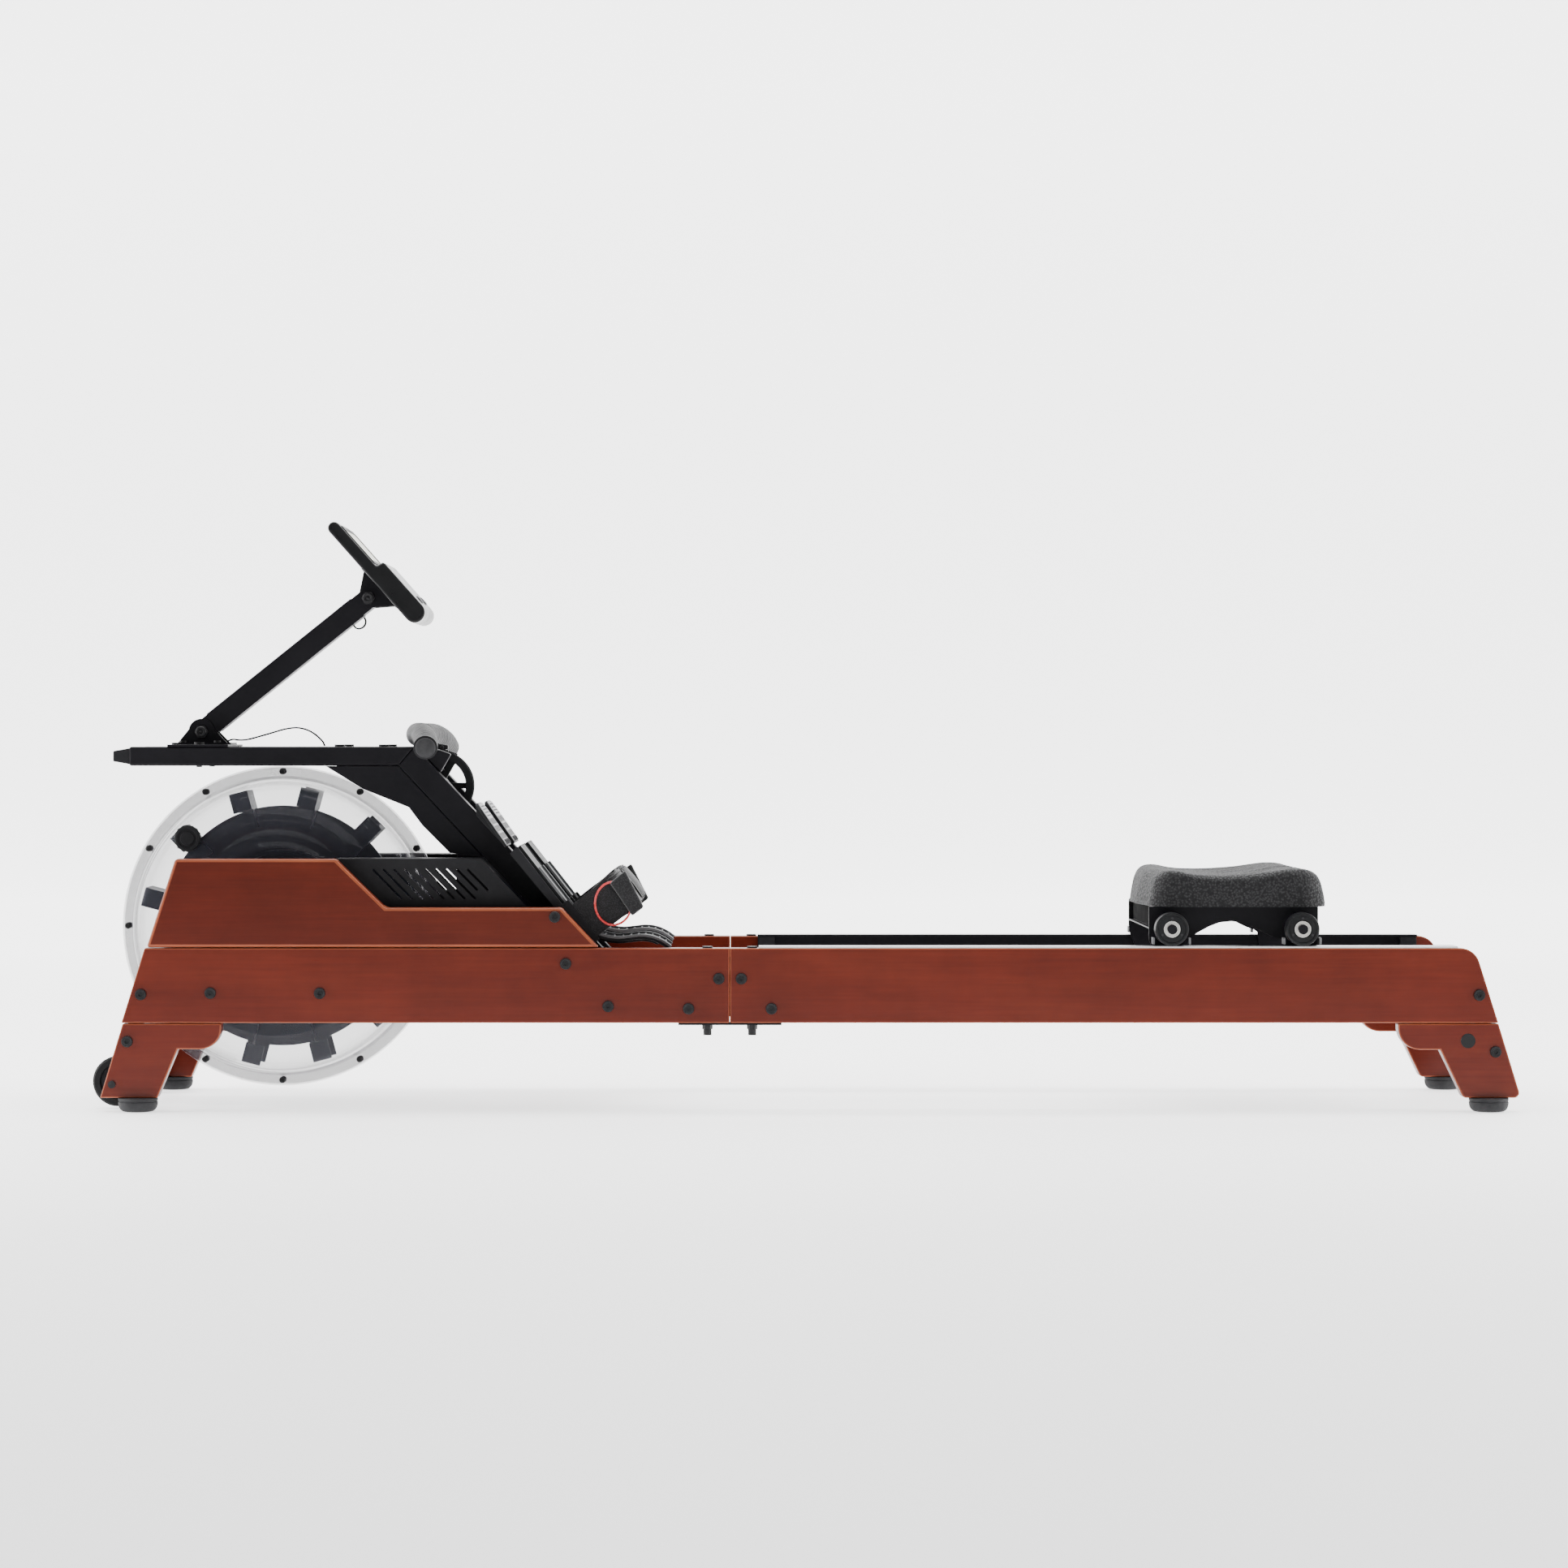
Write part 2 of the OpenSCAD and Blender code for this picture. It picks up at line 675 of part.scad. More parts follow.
// The handle bows towards the tank in its middle and its ends droop
function handle_x(y) = -529 + 25.3 * (1 - cos(180 * min(1, abs(y) / 220))) / 2;
function handle_z(y) = 505.8 - 19.6 * pow(max(0, (abs(y) - 95) / 125), 1.6);
function handle_path(y0, y1, n) =
  [for (i = [0:n]) let (y = y0 + (y1 - y0) * i / n) [handle_x(y), y, handle_z(y)]];
grip_y0 = 40;
cap_t = 4.6;
handle_end = handle_len / 2 - 8;

module handle_bar() {
  yoke = [[-534, 499], [-529, 493.5], [-506, 485.2], [-488, 485.2], [-488, 491], [-500, 493], [-516, 505]];
  color("black") {
    swept_rod(handle_path(-handle_end, handle_end, 28), 12, 12, [0, 0, 1]);
    slab(yoke, -9, 9);
  }
}

module handle_grips() {
  color("dimgray") both_sides()
    swept_sleeve(handle_path(-handle_end, -grip_y0, 11), grip_r, 12.4, 12, [0, 0, 1]);
}

module grip_caps() {
  color("gray") both_sides()
    swept_rod(handle_path(-handle_end - cap_t, -handle_end - 0.3, 1), 13.6, 24, [0, 0, 1]);
}

module arm_place() {
  translate([arm_x, 0, arm_z]) rotate([0, -arm_angle, 0]) children();
}

module monitor_arm() {
  eye_r = 14;
  color("black") arm_place() difference() {
    union() {
      bar(0, 0, -arm_half, arm_half, eye_r);
      bar(arm_len, 0, -arm_half, arm_half, eye_r);
      translate([0, -arm_half, -eye_r]) cube([24, 2 * arm_half, 2 * eye_r]);
      translate([20, -arm_half, -arm_half]) cube([arm_len - 40, 2 * arm_half, 2 * arm_half]);
      translate([arm_len - 24, -arm_half, -eye_r]) cube([24, 2 * arm_half, 2 * eye_r]);
    }
    translate([30, -arm_half + tube_wall, -arm_half + tube_wall])
      cube([arm_len - 60, 2 * (arm_half - tube_wall), 2 * (arm_half - tube_wall)]);
    bar(0, 0, -arm_half - 1, arm_half + 1, pivot_r + pin_gap);
    bar(arm_len, 0, -arm_half - 1, arm_half + 1, pivot_r + pin_gap);
  }
}

module tilt_pivot_bolt() {
  color("silver") pivot_bolt(tilt_x, tilt_z);
}

module pivot_bolt(x, z) {
  outside = cheek_y0 + cheek_t + 0.2;
  bar(x, z, -outside - 3, outside + 3, pivot_r);
  hex_bar(x, z, -outside - 6, -outside, 9.4);
  hex_bar(x, z, outside, outside + 6, 9.4);
}

module arm_bracket() {
  base_z = top_tube_z + 3.05;
  cheek = concat([[-862, base_z], [-790, base_z]], arc(arm_x, arm_z, 18, 10, 170, 16));
  color("black") difference() {
    union() {
      translate([-866.6, -34, base_z]) cube([81.6, 68, 2.5]);
      both_sides() slab(cheek, -cheek_y0 - cheek_t, -cheek_y0);
    }
    bar(arm_x, arm_z, -30, 30, pivot_r + pin_gap);
    for (x = [-852, -805], s = [-1, 1]) translate([x, s * 25, base_z - 1]) cylinder(h = 5, r = 3.2);
  }
}

module monitor_place() {
  translate([tilt_x, 0, tilt_z]) rotate([0, monitor_angle, 0]) children();
}

monitor_back = 23;
monitor_face = 40;
monitor_low_face = 51.5;
// Where the case's thicker lower part starts, and the two ends of its display
monitor_step_x = -20;
screen_x0 = -92;
screen_x1 = -25;
button_x = 50;
button_ys = [-32, 32];

module monitor_bracket() {
  cheek = concat([[34, monitor_back - 0.1], [-34, monitor_back - 0.1]], arc(0, 0, 14, 200, 340, 12));
  color("black") monitor_place() difference() {
    union() {
      both_sides() slab(cheek, -cheek_y0 - cheek_t, -cheek_y0);
      translate([-36, -30, monitor_back - 3]) cube([72, 60, 2.9]);
    }
    bar(0, 0, -30, 30, pivot_r + pin_gap);
  }
}

module monitor_case() {
  outline = concat(
    arc(-97, 31.5, 8.5, 90, 270),
    arc(62, 37.25, 14.25, -90, 90),
    [[monitor_step_x + 4, monitor_low_face], [monitor_step_x, monitor_face]]
  );
  color("black") monitor_place() difference() {
    slab(outline, -monitor_w / 2, monitor_w / 2);
    translate([screen_x0, -monitor_w / 2 + 9, monitor_face - 1.5])
      cube([screen_x1 - screen_x0, monitor_w - 18, 3]);
    for (y = button_ys) translate([button_x, y, 45]) cylinder(h = 10, r = 7.3);
  }
}

module monitor_screen() {
  color("gainsboro") monitor_place()
    translate([screen_x0 + 0.2, -monitor_w / 2 + 9.2, monitor_face - 1.4])
      cube([screen_x1 - screen_x0 - 0.4, monitor_w - 18.4, 1.9]);
}

module monitor_button(y) {
  color("gray") monitor_place() translate([button_x, y, 47.5]) cylinder(h = 5.5, r = 7);
}

module mode_button() {
  monitor_button(button_ys[0]);
}

module reset_button() {
  monitor_button(button_ys[1]);
}

module sensor_cable() {
  color("black") for (dy = [0, 4]) swept_rod([for (p = sensor_route) p + [0, dy, 0]], cable_r, 8, [0, 1, 0]);
}

module monitor_lead() {
  color("black") translate([tilt_x, 0, tilt_z]) rotate([0, -arm_angle, 0])
    for (dy = [-4, 2]) swept_rod([for (p = lead_route) p + [0, dy, 0]], cable_r, 8, [0, 1, 0]);
}

module foot_place() {
  translate([foot_x, -foot_mid_y, foot_z]) rotate([0, foot_angle, 0]) children();
}

// The posts' upper face, where the foot bases rest
function post_face_z(x) = post_z + (post_d / 2) * post_nz
  + (x - post_x - (post_d / 2) * post_nx) * post_dz / post_dx;

module foot_bases() {
  lift = 0.3;
  wedge = [
    [-393, post_face_z(-393) + lift], [-313.5, post_face_z(-313.5) + lift], [-312, 260.4],
    [-384.8, 353.5]
  ];
  brace = [
    [-440, post_face_z(-440) + lift], [-406, post_face_z(-406) + lift], [-406, 360], [-441.6, 410.4]
  ];
  // Side cheeks, along and above the foot's slope, that carry the strap
  cheek_w = 5;
  cheek = [[-1, -4], [1, -18], [98, -15], [166, -15], [166, 6.5], [98, 6.5], [98, -4]];
  color("dimgray") both_sides() {
    slab(wedge, -foot_mid_y - foot_half_w + 2, -foot_mid_y + foot_half_w - 2);
    slab(brace, -foot_mid_y - foot_half_w + 12, -foot_mid_y + foot_half_w - 12);
    foot_place() for (s = [-1, 1])
      translate([0, s * (foot_half_w - 2.1) + cheek_w / 2, 0]) rotate([90, 0, 0])
        linear_extrude(cheek_w) polygon(cheek);
  }
}

module foot_plates() {
  plate = [[-439.3, 413.2], [-398.4, 355], [-400.8, 353.3], [-441.7, 411.5]];
  color("gray") both_sides() difference() {
    slab(plate, -foot_mid_y - foot_half_w, -foot_mid_y + foot_half_w);
    for (i = [0:3]) translate([-433 + 9 * i, -foot_mid_y, 407 - 12.8 * i]) rotate([0, 54.9, 0])
      translate([-3, -30, -8]) cube([5, 60, 16]);
  }
}

heel_top = concat(
  [[foot_x, foot_z], [-308, 263], [-297, 250.5], [-284, 240], [-268, 233]],
  [[-250, 230], [-233, 231.5], [-218, 233], [-204, 231.5], [-190, 226], [-178, 218]]
);

module heel_slider() {
  slab(concat(heel_top, reversed(shifted(heel_top, 4))),
    -foot_mid_y - heel_half_w, -foot_mid_y + heel_half_w);
}

module left_heel_slider() {
  color("dimgray") heel_slider();
}

module right_heel_slider() {
  color("dimgray") mirror([0, 1, 0]) heel_slider();
}

// The strap's arch over the foot: a flattened half circle
function arch(half_w, height, base, n) = [
  for (i = [0:n]) let (a = 180 * i / n, c = cos(a))
  [half_w * sign(c) * pow(abs(c), 0.5), base + height * pow(sin(a), 0.5)]
];

module foot_straps() {
  color("black") both_sides() foot_place() translate([106, 0, 0]) rotate([90, 0, 90])
    linear_extrude(56) polygon(concat(
      arch(54, 74, 6.8, 24), reversed(arch(51.4, 71.4, 6.8, 24))
    ));
}

module strap_rings() {
  color("red") both_sides() translate([-256, -153.8, 278]) rotate([90, 0, 0])
    rotate_extrude($fn = 40) translate([24, 0]) circle(r = 1.5, $fn = 16);
}

module track_strips() {
  color("silver") both_sides()
    translate([track_x0, -frame_half_w + 2, rail_top + 0.02])
      cube([track_x1 - track_x0, board_t - 3, strip_t]);
}

module track_channels() {
  c = channel_t;
  top = rail_top + strip_t;
  color("black") both_sides() translate([track_x0, 0, 0]) rotate([90, 0, 90])
    linear_extrude(track_x1 - track_x0) polygon([
      [-inner_y, channel_z0], [-channel_y0, channel_z0], [-channel_y0, channel_z0 + c],
      [-inner_y + c, channel_z0 + c], [-inner_y + c, rail_top], [-channel_y0, rail_top],
      [-channel_y0, top], [-inner_y, top]
    ]);
}

module track_end_stops() {
  stop_len = 23;
  color("dimgray") both_sides() for (x = [track_x0 + 1, track_x1 - stop_len - 1])
    translate([x, -inner_y + channel_t + 0.1, channel_z0 + channel_t + 0.1])
      cube([stop_len, inner_y - channel_t - channel_y0 - 0.6, rail_top - channel_z0 - channel_t - 0.3]);
}

module rubber_feet() {
  color("dimgray") both_sides() {
    translate([front_foot_x, -foot_y, 0]) rotate_extrude()
      polygon([
        [0, 0], [foot_r - 6, 0], [foot_r - 1.5, 5], [foot_r, 11], [foot_r, foot_h - 0.05],
        [0, foot_h - 0.05]
      ]);
    translate([rear_foot_x, -foot_y, 0]) rotate_extrude()
      polygon([[0, 0], [foot_r - 3, 0], [foot_r - 1, 3], [foot_r, foot_h - 0.05], [0, foot_h - 0.05]]);
  }
}

module side_bolt(p, length) {
  difference() {
    union() {
      bar(p[0], p[1], -frame_half_w - 3.5, -frame_half_w - 0.05, head_r);
      bar(p[0], p[1], -frame_half_w - 1, -frame_half_w + length, bolt_r);
    }
    hex_bar(p[0], p[1], -frame_half_w - 4, -frame_half_w - 1.5, 2.9);
  }
}

module frame_bolts() {
  short_bolt = 38;
  long_bolt = 68;
  base_top = top_tube_z + 5.55;
  color("black") {
    both_sides() {
      for (p = concat(nut_bolts_on_plates, [[-887.3, 157.1]], panel_bolts)) side_bolt(p, short_bolt);
      for (p = concat(front_leg_bolts, rear_leg_bolts, inner_bolts))
        side_bolt(p, long_bolt);
      for (x = joint_bolt_xs) translate([x, -rail_mid_y, 0]) {
        translate([0, 0, rail_top + 0.05]) cylinder(h = 2.2, r = 7);
        translate([0, 0, 103]) cylinder(h = rail_top - 102, r = bolt_r);
      }
      for (x = tube_bolt_xs) translate([x, -tube_y, 0]) {
        translate([0, 0, top_tube_z + 0.05]) cylinder(h = 3, r = head_r);
        translate([0, 0, top_tube_z0 - 2]) cylinder(h = top_tube_h + 4, r = bolt_r);
      }
      translate([mount_bolt_x, -tube_y, 0]) {
        translate([0, 0, top_tube_z + 3.05]) cylinder(h = 3, r = head_r);
        translate([0, 0, top_tube_z0 - 2]) cylinder(h = top_tube_h + 6, r = bolt_r);
      }
      for (x = [-852, -805]) translate([x, -25, 0]) {
        translate([0, 0, base_top + 0.05]) cylinder(h = 3, r = 5);
        translate([0, 0, top_tube_z - 3]) cylinder(h = 10, r = 3);
      }
    }
    pivot_bolt(arm_x, arm_z);
  }
}

module side_nut(p, y) {
  difference() {
    hex_bar(p[0], p[1], -y + 0.05, -y + 6, 7.5);
    bar(p[0], p[1], -y - 1, -y + 7, bolt_r + pin_gap);
  }
}

module frame_nuts() {
  color("dimgray") both_sides() {
    for (p = nut_bolts_on_plates) side_nut(p, inner_y - plate_t);
    side_nut([-887.3, 157.1], inner_y - leg_plate_t);
    for (p = panel_bolts) side_nut(p, inner_y);
    for (x = joint_bolt_xs) translate([x, -rail_mid_y, 0]) difference() {
      union() {
        translate([0, 0, rail_z0 - 9]) cylinder(h = 5.95, r = 7, $fn = 6);
        translate([0, 0, rail_z0 - 17]) cylinder(h = 8, r = 5.5);
      }
      translate([0, 0, 102.5]) cylinder(h = 14, r = bolt_r + pin_gap);
    }
  }
}

module seat_pad() {
  pad_x0 = 469;
  pad_x1 = 707;
  corner = 34;
  nose = 9;
  nose_half_w = 45;
  side_half_w = seat_w / 2 - corner;
  profile = [
    [pad_x0 - nose, carriage_top + 0.2], [pad_x1 - 1, carriage_top + 0.2], [pad_x1, 276],
    [pad_x1 - 3, 296], [pad_x1 - 8, 311], [pad_x1 - 15, 319], [pad_x1 - 33, 324], [650, 323],
    [615, 317], [570, 314.5], [530, 315.5], [500, 319], [pad_x0 + 15, 321], [pad_x0 + 1, 314],
    [pad_x0 - 6, 298]
  ];
  color("dimgray") intersection() {
    slab(profile, -seat_w / 2, seat_w / 2);
    translate([0, 0, carriage_top - 10]) linear_extrude(80) union() {
      translate([pad_x0 + corner, -seat_w / 2]) square([pad_x1 - pad_x0 - 2 * corner, seat_w]);
      translate([pad_x0, -side_half_w]) square([pad_x1 - pad_x0, 2 * side_half_w]);
      for (x = [pad_x0 + corner + 0.1, pad_x1 - corner - 0.1], y = [-1, 1])
        translate([x, y * (side_half_w - 0.1)]) circle(r = corner);
      polygon([
        [pad_x0 - nose, -nose_half_w], [pad_x0 - nose, nose_half_w],
        [pad_x0 + 1, side_half_w - 2], [pad_x0 + 1, 2 - side_half_w]
      ]);
    }
  }
}

module seat_carriage() {
  plate_y = 144;
  side = [
    [468, carriage_top], [468, 228], [477, 205], [480, 194], [509, 194], [515, 226],
    [524, 232], [534, 238.5], [550, 247], [563, 251.8], [579, 253.5], [592, 252.2],
    [606, 247], [621, 239.3], [635, 232.6], [645, 229.5], [650, 226], [655, 194],
    [684, 194], [687, 205], [696, 228], [696, carriage_top]
  ];
  front_x = 474;
  rear_x = 664;
  channel_w = 26;
  t = 2.5;
  color("dimgray") {
    both_sides() {
      slab(side, -plate_y, -plate_y + 4);
      for (x = [seat_front_x, seat_rear_x]) {
        bar(x, seat_wheel_z, -162.7, -plate_y + 1, 7);
        bar(x, seat_wheel_z, -187.5, -plate_y + 1, bolt_r);
        bar(x, seat_wheel_z, -190.5, -187.3, 6.5);
        bar(x, roller_z, -157, -plate_y + 1, bolt_r);
        bar(x, roller_z, -145.8, -plate_y + 1, 7);
      }
    }
    for (x = [front_x, rear_x]) translate([x, -plate_y + 3, 0]) difference() {
      translate([0, 0, 243]) cube([channel_w, 2 * plate_y - 6, carriage_top - 243]);
      translate([t, -1, 243 + t]) cube([channel_w - 2 * t, 2 * plate_y, 40]);
    }
    translate([front_x + 20, -70, carriage_top - 2.5]) cube([rear_x - front_x - 14, 140, 2.5]);
  }
}

module seat_wheels(x) {
  color("dimgray") both_sides() difference() {
    bar(x, seat_wheel_z, -187, -163, seat_wheel_r);
    bar(x, seat_wheel_z, -188, -183, 11);
    bar(x, seat_wheel_z, -188, -162, bolt_r + pin_gap);
  }
}

module front_seat_wheels() {
  seat_wheels(seat_front_x);
}

module rear_seat_wheels() {
  seat_wheels(seat_rear_x);
}

module guide_rollers(x) {
  color("lightgray") both_sides() difference() {
    bar(x, roller_z, -156.6, -146.1, roller_r);
    bar(x, roller_z, -158, -145, bolt_r + pin_gap);
  }
}

module front_guide_rollers() {
  guide_rollers(seat_front_x);
}

module rear_guide_rollers() {
  guide_rollers(seat_rear_x);
}

module transport_wheels() {
  color("dimgray") both_sides() difference() {
    union() {
      bar(wheel_x, wheel_z, -135, -111, wheel_r);
      bar(wheel_x, wheel_z, -138, -108, 12);
    }
    bar(wheel_x, wheel_z, -139, -107, wheel_axle_r + pin_gap);
  }
}

front_rails();
rear_rails();
tank_panels();
front_legs();
rear_legs();
cross_boards();
joint_plates();
top_tubes();
tube_plugs();
monitor_mount_plate();
post_tubes();
gusset_plates();
tank_brackets();
vent_covers();
left_tank_shell();
right_tank_shell();
tank_seal();
tank_screws();
tank_bearings();
pulley_axles();
foot_bases();
foot_plates();
foot_straps();
strap_rings();
track_strips();
track_channels();
track_end_stops();
rubber_feet();
frame_bolts();
frame_nuts();
arm_bracket();
sensor_cable();
transfer_belt();
drive_belt();
fill_plug();
impeller();
impeller_shaft();
transfer_pulley();
drive_drum();
guide_pulley();
handle_bar();
handle_grips();
grip_caps();
monitor_arm();
tilt_pivot_bolt();
monitor_lead();
monitor_bracket();
monitor_case();
monitor_screen();
mode_button();
reset_button();
seat_pad();
seat_carriage();
front_seat_wheels();
rear_seat_wheels();
front_guide_rollers();
rear_guide_rollers();
transport_wheels();
left_heel_slider();
right_heel_slider();
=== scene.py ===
import math
import random
import bmesh
import bpy
from mathutils import Matrix, Vector


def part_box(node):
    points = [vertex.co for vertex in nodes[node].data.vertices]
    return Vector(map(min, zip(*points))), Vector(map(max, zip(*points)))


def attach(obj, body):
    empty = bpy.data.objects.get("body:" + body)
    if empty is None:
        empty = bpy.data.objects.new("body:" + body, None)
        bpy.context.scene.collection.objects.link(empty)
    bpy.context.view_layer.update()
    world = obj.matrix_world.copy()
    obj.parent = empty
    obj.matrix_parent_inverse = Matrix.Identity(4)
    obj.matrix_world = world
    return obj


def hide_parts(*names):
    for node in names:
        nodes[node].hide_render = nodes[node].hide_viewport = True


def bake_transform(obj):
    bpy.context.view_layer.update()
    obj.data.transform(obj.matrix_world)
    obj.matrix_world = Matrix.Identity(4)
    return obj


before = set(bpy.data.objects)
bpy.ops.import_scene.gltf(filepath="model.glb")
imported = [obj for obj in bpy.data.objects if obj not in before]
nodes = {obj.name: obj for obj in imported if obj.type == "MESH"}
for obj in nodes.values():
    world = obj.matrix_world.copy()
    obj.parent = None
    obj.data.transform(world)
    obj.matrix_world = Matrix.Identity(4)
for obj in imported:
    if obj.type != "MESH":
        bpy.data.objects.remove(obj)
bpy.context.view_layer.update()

random.seed(7)
MM = 0.001

# ---------------------------------------------------------------- materials


def new_material(name, colour, rough, metal=0.0, coat=0.0, coat_rough=0.1, spec=0.5):
    """A Principled material with its constants set on the shader's own sockets."""
    m = bpy.data.materials.new(name)
    m.use_nodes = True
    nt = m.node_tree
    b = nt.nodes["Principled BSDF"]
    b.inputs["Base Color"].default_value = (*colour, 1)
    b.inputs["Roughness"].default_value = rough
    b.inputs["Metallic"].default_value = metal
    b.inputs["Coat Weight"].default_value = coat
    b.inputs["Coat Roughness"].default_value = coat_rough
    b.inputs["Specular IOR Level"].default_value = spec
    return m, nt, b


def coordinates(nt, scale=(1, 1, 1)):
    """Object coordinates, in metres, times scale."""
    tc = nt.nodes.new("ShaderNodeTexCoord")
    mp = nt.nodes.new("ShaderNodeMapping")
    mp.inputs["Scale"].default_value = scale
    nt.links.new(tc.outputs["Object"], mp.inputs["Vector"])
    return mp.outputs["Vector"]


def noise(nt, vector, scale, detail=3, rough=0.55, distortion=0.0):
    n = nt.nodes.new("ShaderNodeTexNoise")
    n.inputs["Scale"].default_value = scale
    n.inputs["Detail"].default_value = detail
    n.inputs["Roughness"].default_value = rough
    n.inputs["Distortion"].default_value = distortion
    nt.links.new(vector, n.inputs["Vector"])
    return n.outputs["Fac"]


def ramp(nt, fac, stops):
    """A colour ramp through (position, colour) stops."""
    r = nt.nodes.new("ShaderNodeValToRGB")
    e = r.color_ramp.elements
    while len(e) < len(stops):
        e.new(0.5)
    for k, (pos, colour) in enumerate(stops):
        e[k].position = pos
        e[k].color = (*colour, 1) if len(colour) == 3 else colour
    nt.links.new(fac, r.inputs["Fac"])
    return r.outputs["Color"]


def grey(v):
    return (v, v, v)


def mix(nt, fac, a, b, mode="MIX"):
    m = nt.nodes.new("ShaderNodeMix")
    m.data_type = "RGBA"
    m.blend_type = mode
    if isinstance(fac, float):
        m.inputs["Factor"].default_value = fac
    else:
        nt.links.new(fac, m.inputs["Factor"])
    for sock, v in ((m.inputs["A"], a), (m.inputs["B"], b)):
        if isinstance(v, tuple):
            sock.default_value = (*v, 1)
        else:
            nt.links.new(v, sock)
    return m.outputs["Result"]


def bump(nt, bsdf, height, strength, distance, under=None):
    """Adds a bump to the shader's normal, over another bump if one is given."""
    n = nt.nodes.new("ShaderNodeBump")
    n.inputs["Strength"].default_value = strength
    n.inputs["Distance"].default_value = distance
    nt.links.new(height, n.inputs["Height"])
    if under is not None:
        nt.links.new(under, n.inputs["Normal"])
    nt.links.new(n.outputs["Normal"], bsdf.inputs["Normal"])
    return n.outputs["Normal"]


def speckled(name, low, high, scale, rough_span, grain, depth, metal=0.0, coat=0.0, spec=0.5):
    """A surface with soft colour variation, uneven gloss and a fine grain in relief."""
    m, nt, b = new_material(name, low, sum(rough_span) / 2, metal, coat, spec=spec)
    v = coordinates(nt)
    nt.links.new(ramp(nt, noise(nt, v, scale), [(0.3, low), (0.7, high)]), b.inputs["Base Color"])
    nt.links.new(
        ramp(nt, noise(nt, v, scale * 2.3), [(0.25, grey(rough_span[0])), (0.75, grey(rough_span[1]))]),
        b.inputs["Roughness"],
    )
    bump(nt, b, noise(nt, v, grain, 2, 0.6), 0.5, depth)
    return m


def wood_material(name, tone=1.0, warmth=1.0):
    """Red-brown lacquer over straight grain that runs along the machine; warmth turns it to orange."""
    m, nt, b = new_material(name, (0.2, 0.04, 0.02), 0.4, coat=0.16, coat_rough=0.14, spec=0.08)
    long = coordinates(nt, (1.0, 6.0, 7.0))
    fine = coordinates(nt, (1.6, 60.0, 60.0))
    broad = noise(nt, long, 2.2, 4, 0.6, 0.4)
    base = ramp(nt, broad, [
        (0.2, (0.079 * tone, 0.0083 * tone * warmth, 0.0040 * tone * warmth)),
        (0.5, (0.100 * tone, 0.0122 * tone * warmth, 0.0054 * tone * warmth)),
        (0.82, (0.124 * tone, 0.0172 * tone * warmth, 0.0070 * tone * warmth)),
    ])
    streaks = noise(nt, fine, 5.0, 5, 0.62, 0.25)
    dark = ramp(nt, streaks, [(0.3, grey(0.86)), (0.6, grey(0.98)), (0.8, grey(1.05))])
    mottle = ramp(nt, noise(nt, coordinates(nt), 14, 3), [(0.3, grey(0.86)), (0.7, grey(1.1))])
    tinted = mix(nt, 1.0, base, dark, "MULTIPLY")
    nt.links.new(mix(nt, 0.8, tinted, mottle, "MULTIPLY"), b.inputs["Base Color"])
    nt.links.new(ramp(nt, streaks, [(0.3, grey(0.40)), (0.75, grey(0.27))]), b.inputs["Roughness"])
    bump(nt, b, streaks, 0.12, 0.0006)
    return m


def woven_material(name, colour, light, pitch, fuzz):
    """Close woven or looped webbing, in relief along two directions."""
    m, nt, b = new_material(name, colour, 0.92, spec=0.25)
    b.inputs["Sheen Weight"].default_value = 0.35
    b.inputs["Sheen Roughness"].default_value = 0.5
    v = coordinates(nt)
    weave = nt.nodes.new("ShaderNodeTexVoronoi")
    weave.inputs["Scale"].default_value = 1 / pitch
    nt.links.new(v, weave.inputs["Vector"])
    dots = weave.outputs["Distance"]
    # The woven relief is real; its colour follows it, lighter on the raised loops and darker in the gaps
    # between them, which is painted shade between the loops
    tone = ramp(nt, dots, [(0.05, light), (0.55, colour)])
    patch = ramp(nt, noise(nt, v, 40, 4), [(0.35, grey(0.7)), (0.7, grey(1.25))])
    nt.links.new(mix(nt, 0.9, tone, patch, "MULTIPLY"), b.inputs["Base Color"])
    loops = noise(nt, v, fuzz, 2, 0.7)
    first = bump(nt, b, dots, 0.7, -0.0005)
    bump(nt, b, loops, 0.5, 0.0004, first)
    return m


def clear_material(name, tint, alpha, rough):
    """See-through moulded plastic: more solid where it is seen at a grazing angle."""
    m, nt, b = new_material(name, tint, rough, coat=0.1, coat_rough=0.05, spec=0.5)
    edge = nt.nodes.new("ShaderNodeLayerWeight")
    edge.inputs["Blend"].default_value = 0.32
    nt.links.new(
        ramp(nt, edge.outputs["Facing"], [(0.0, grey(alpha)), (0.5, grey(alpha + 0.06)), (1.0, grey(0.8))]),
        b.inputs["Alpha"],
    )
    v = coordinates(nt)
    nt.links.new(
        ramp(nt, noise(nt, v, 5, 3), [(0.3, tint), (0.7, tuple(min(1.0, c * 1.08) for c in tint))]),
        b.inputs["Base Color"],
    )
    bump(nt, b, noise(nt, v, 18, 2), 0.08, 0.001)
    m.surface_render_method = "BLENDED"
    return m


def brushed_material(name, colour, rough, scale):
    """Drawn or turned metal with fine lines across the given directions."""
    m, nt, b = new_material(name, colour, rough, metal=1.0)
    v = coordinates(nt, scale)
    lines = noise(nt, v, 60, 4, 0.7)
    shine = ramp(nt, lines, [(0.3, grey(rough * 0.7)), (0.7, grey(rough * 1.35))])
    nt.links.new(shine, b.inputs["Roughness"])
    low = tuple(c * 0.85 for c in colour)
    nt.links.new(ramp(nt, lines, [(0.3, low), (0.7, colour)]), b.inputs["Base Color"])
    bump(nt, b, lines, 0.15, 0.0002)
    return m


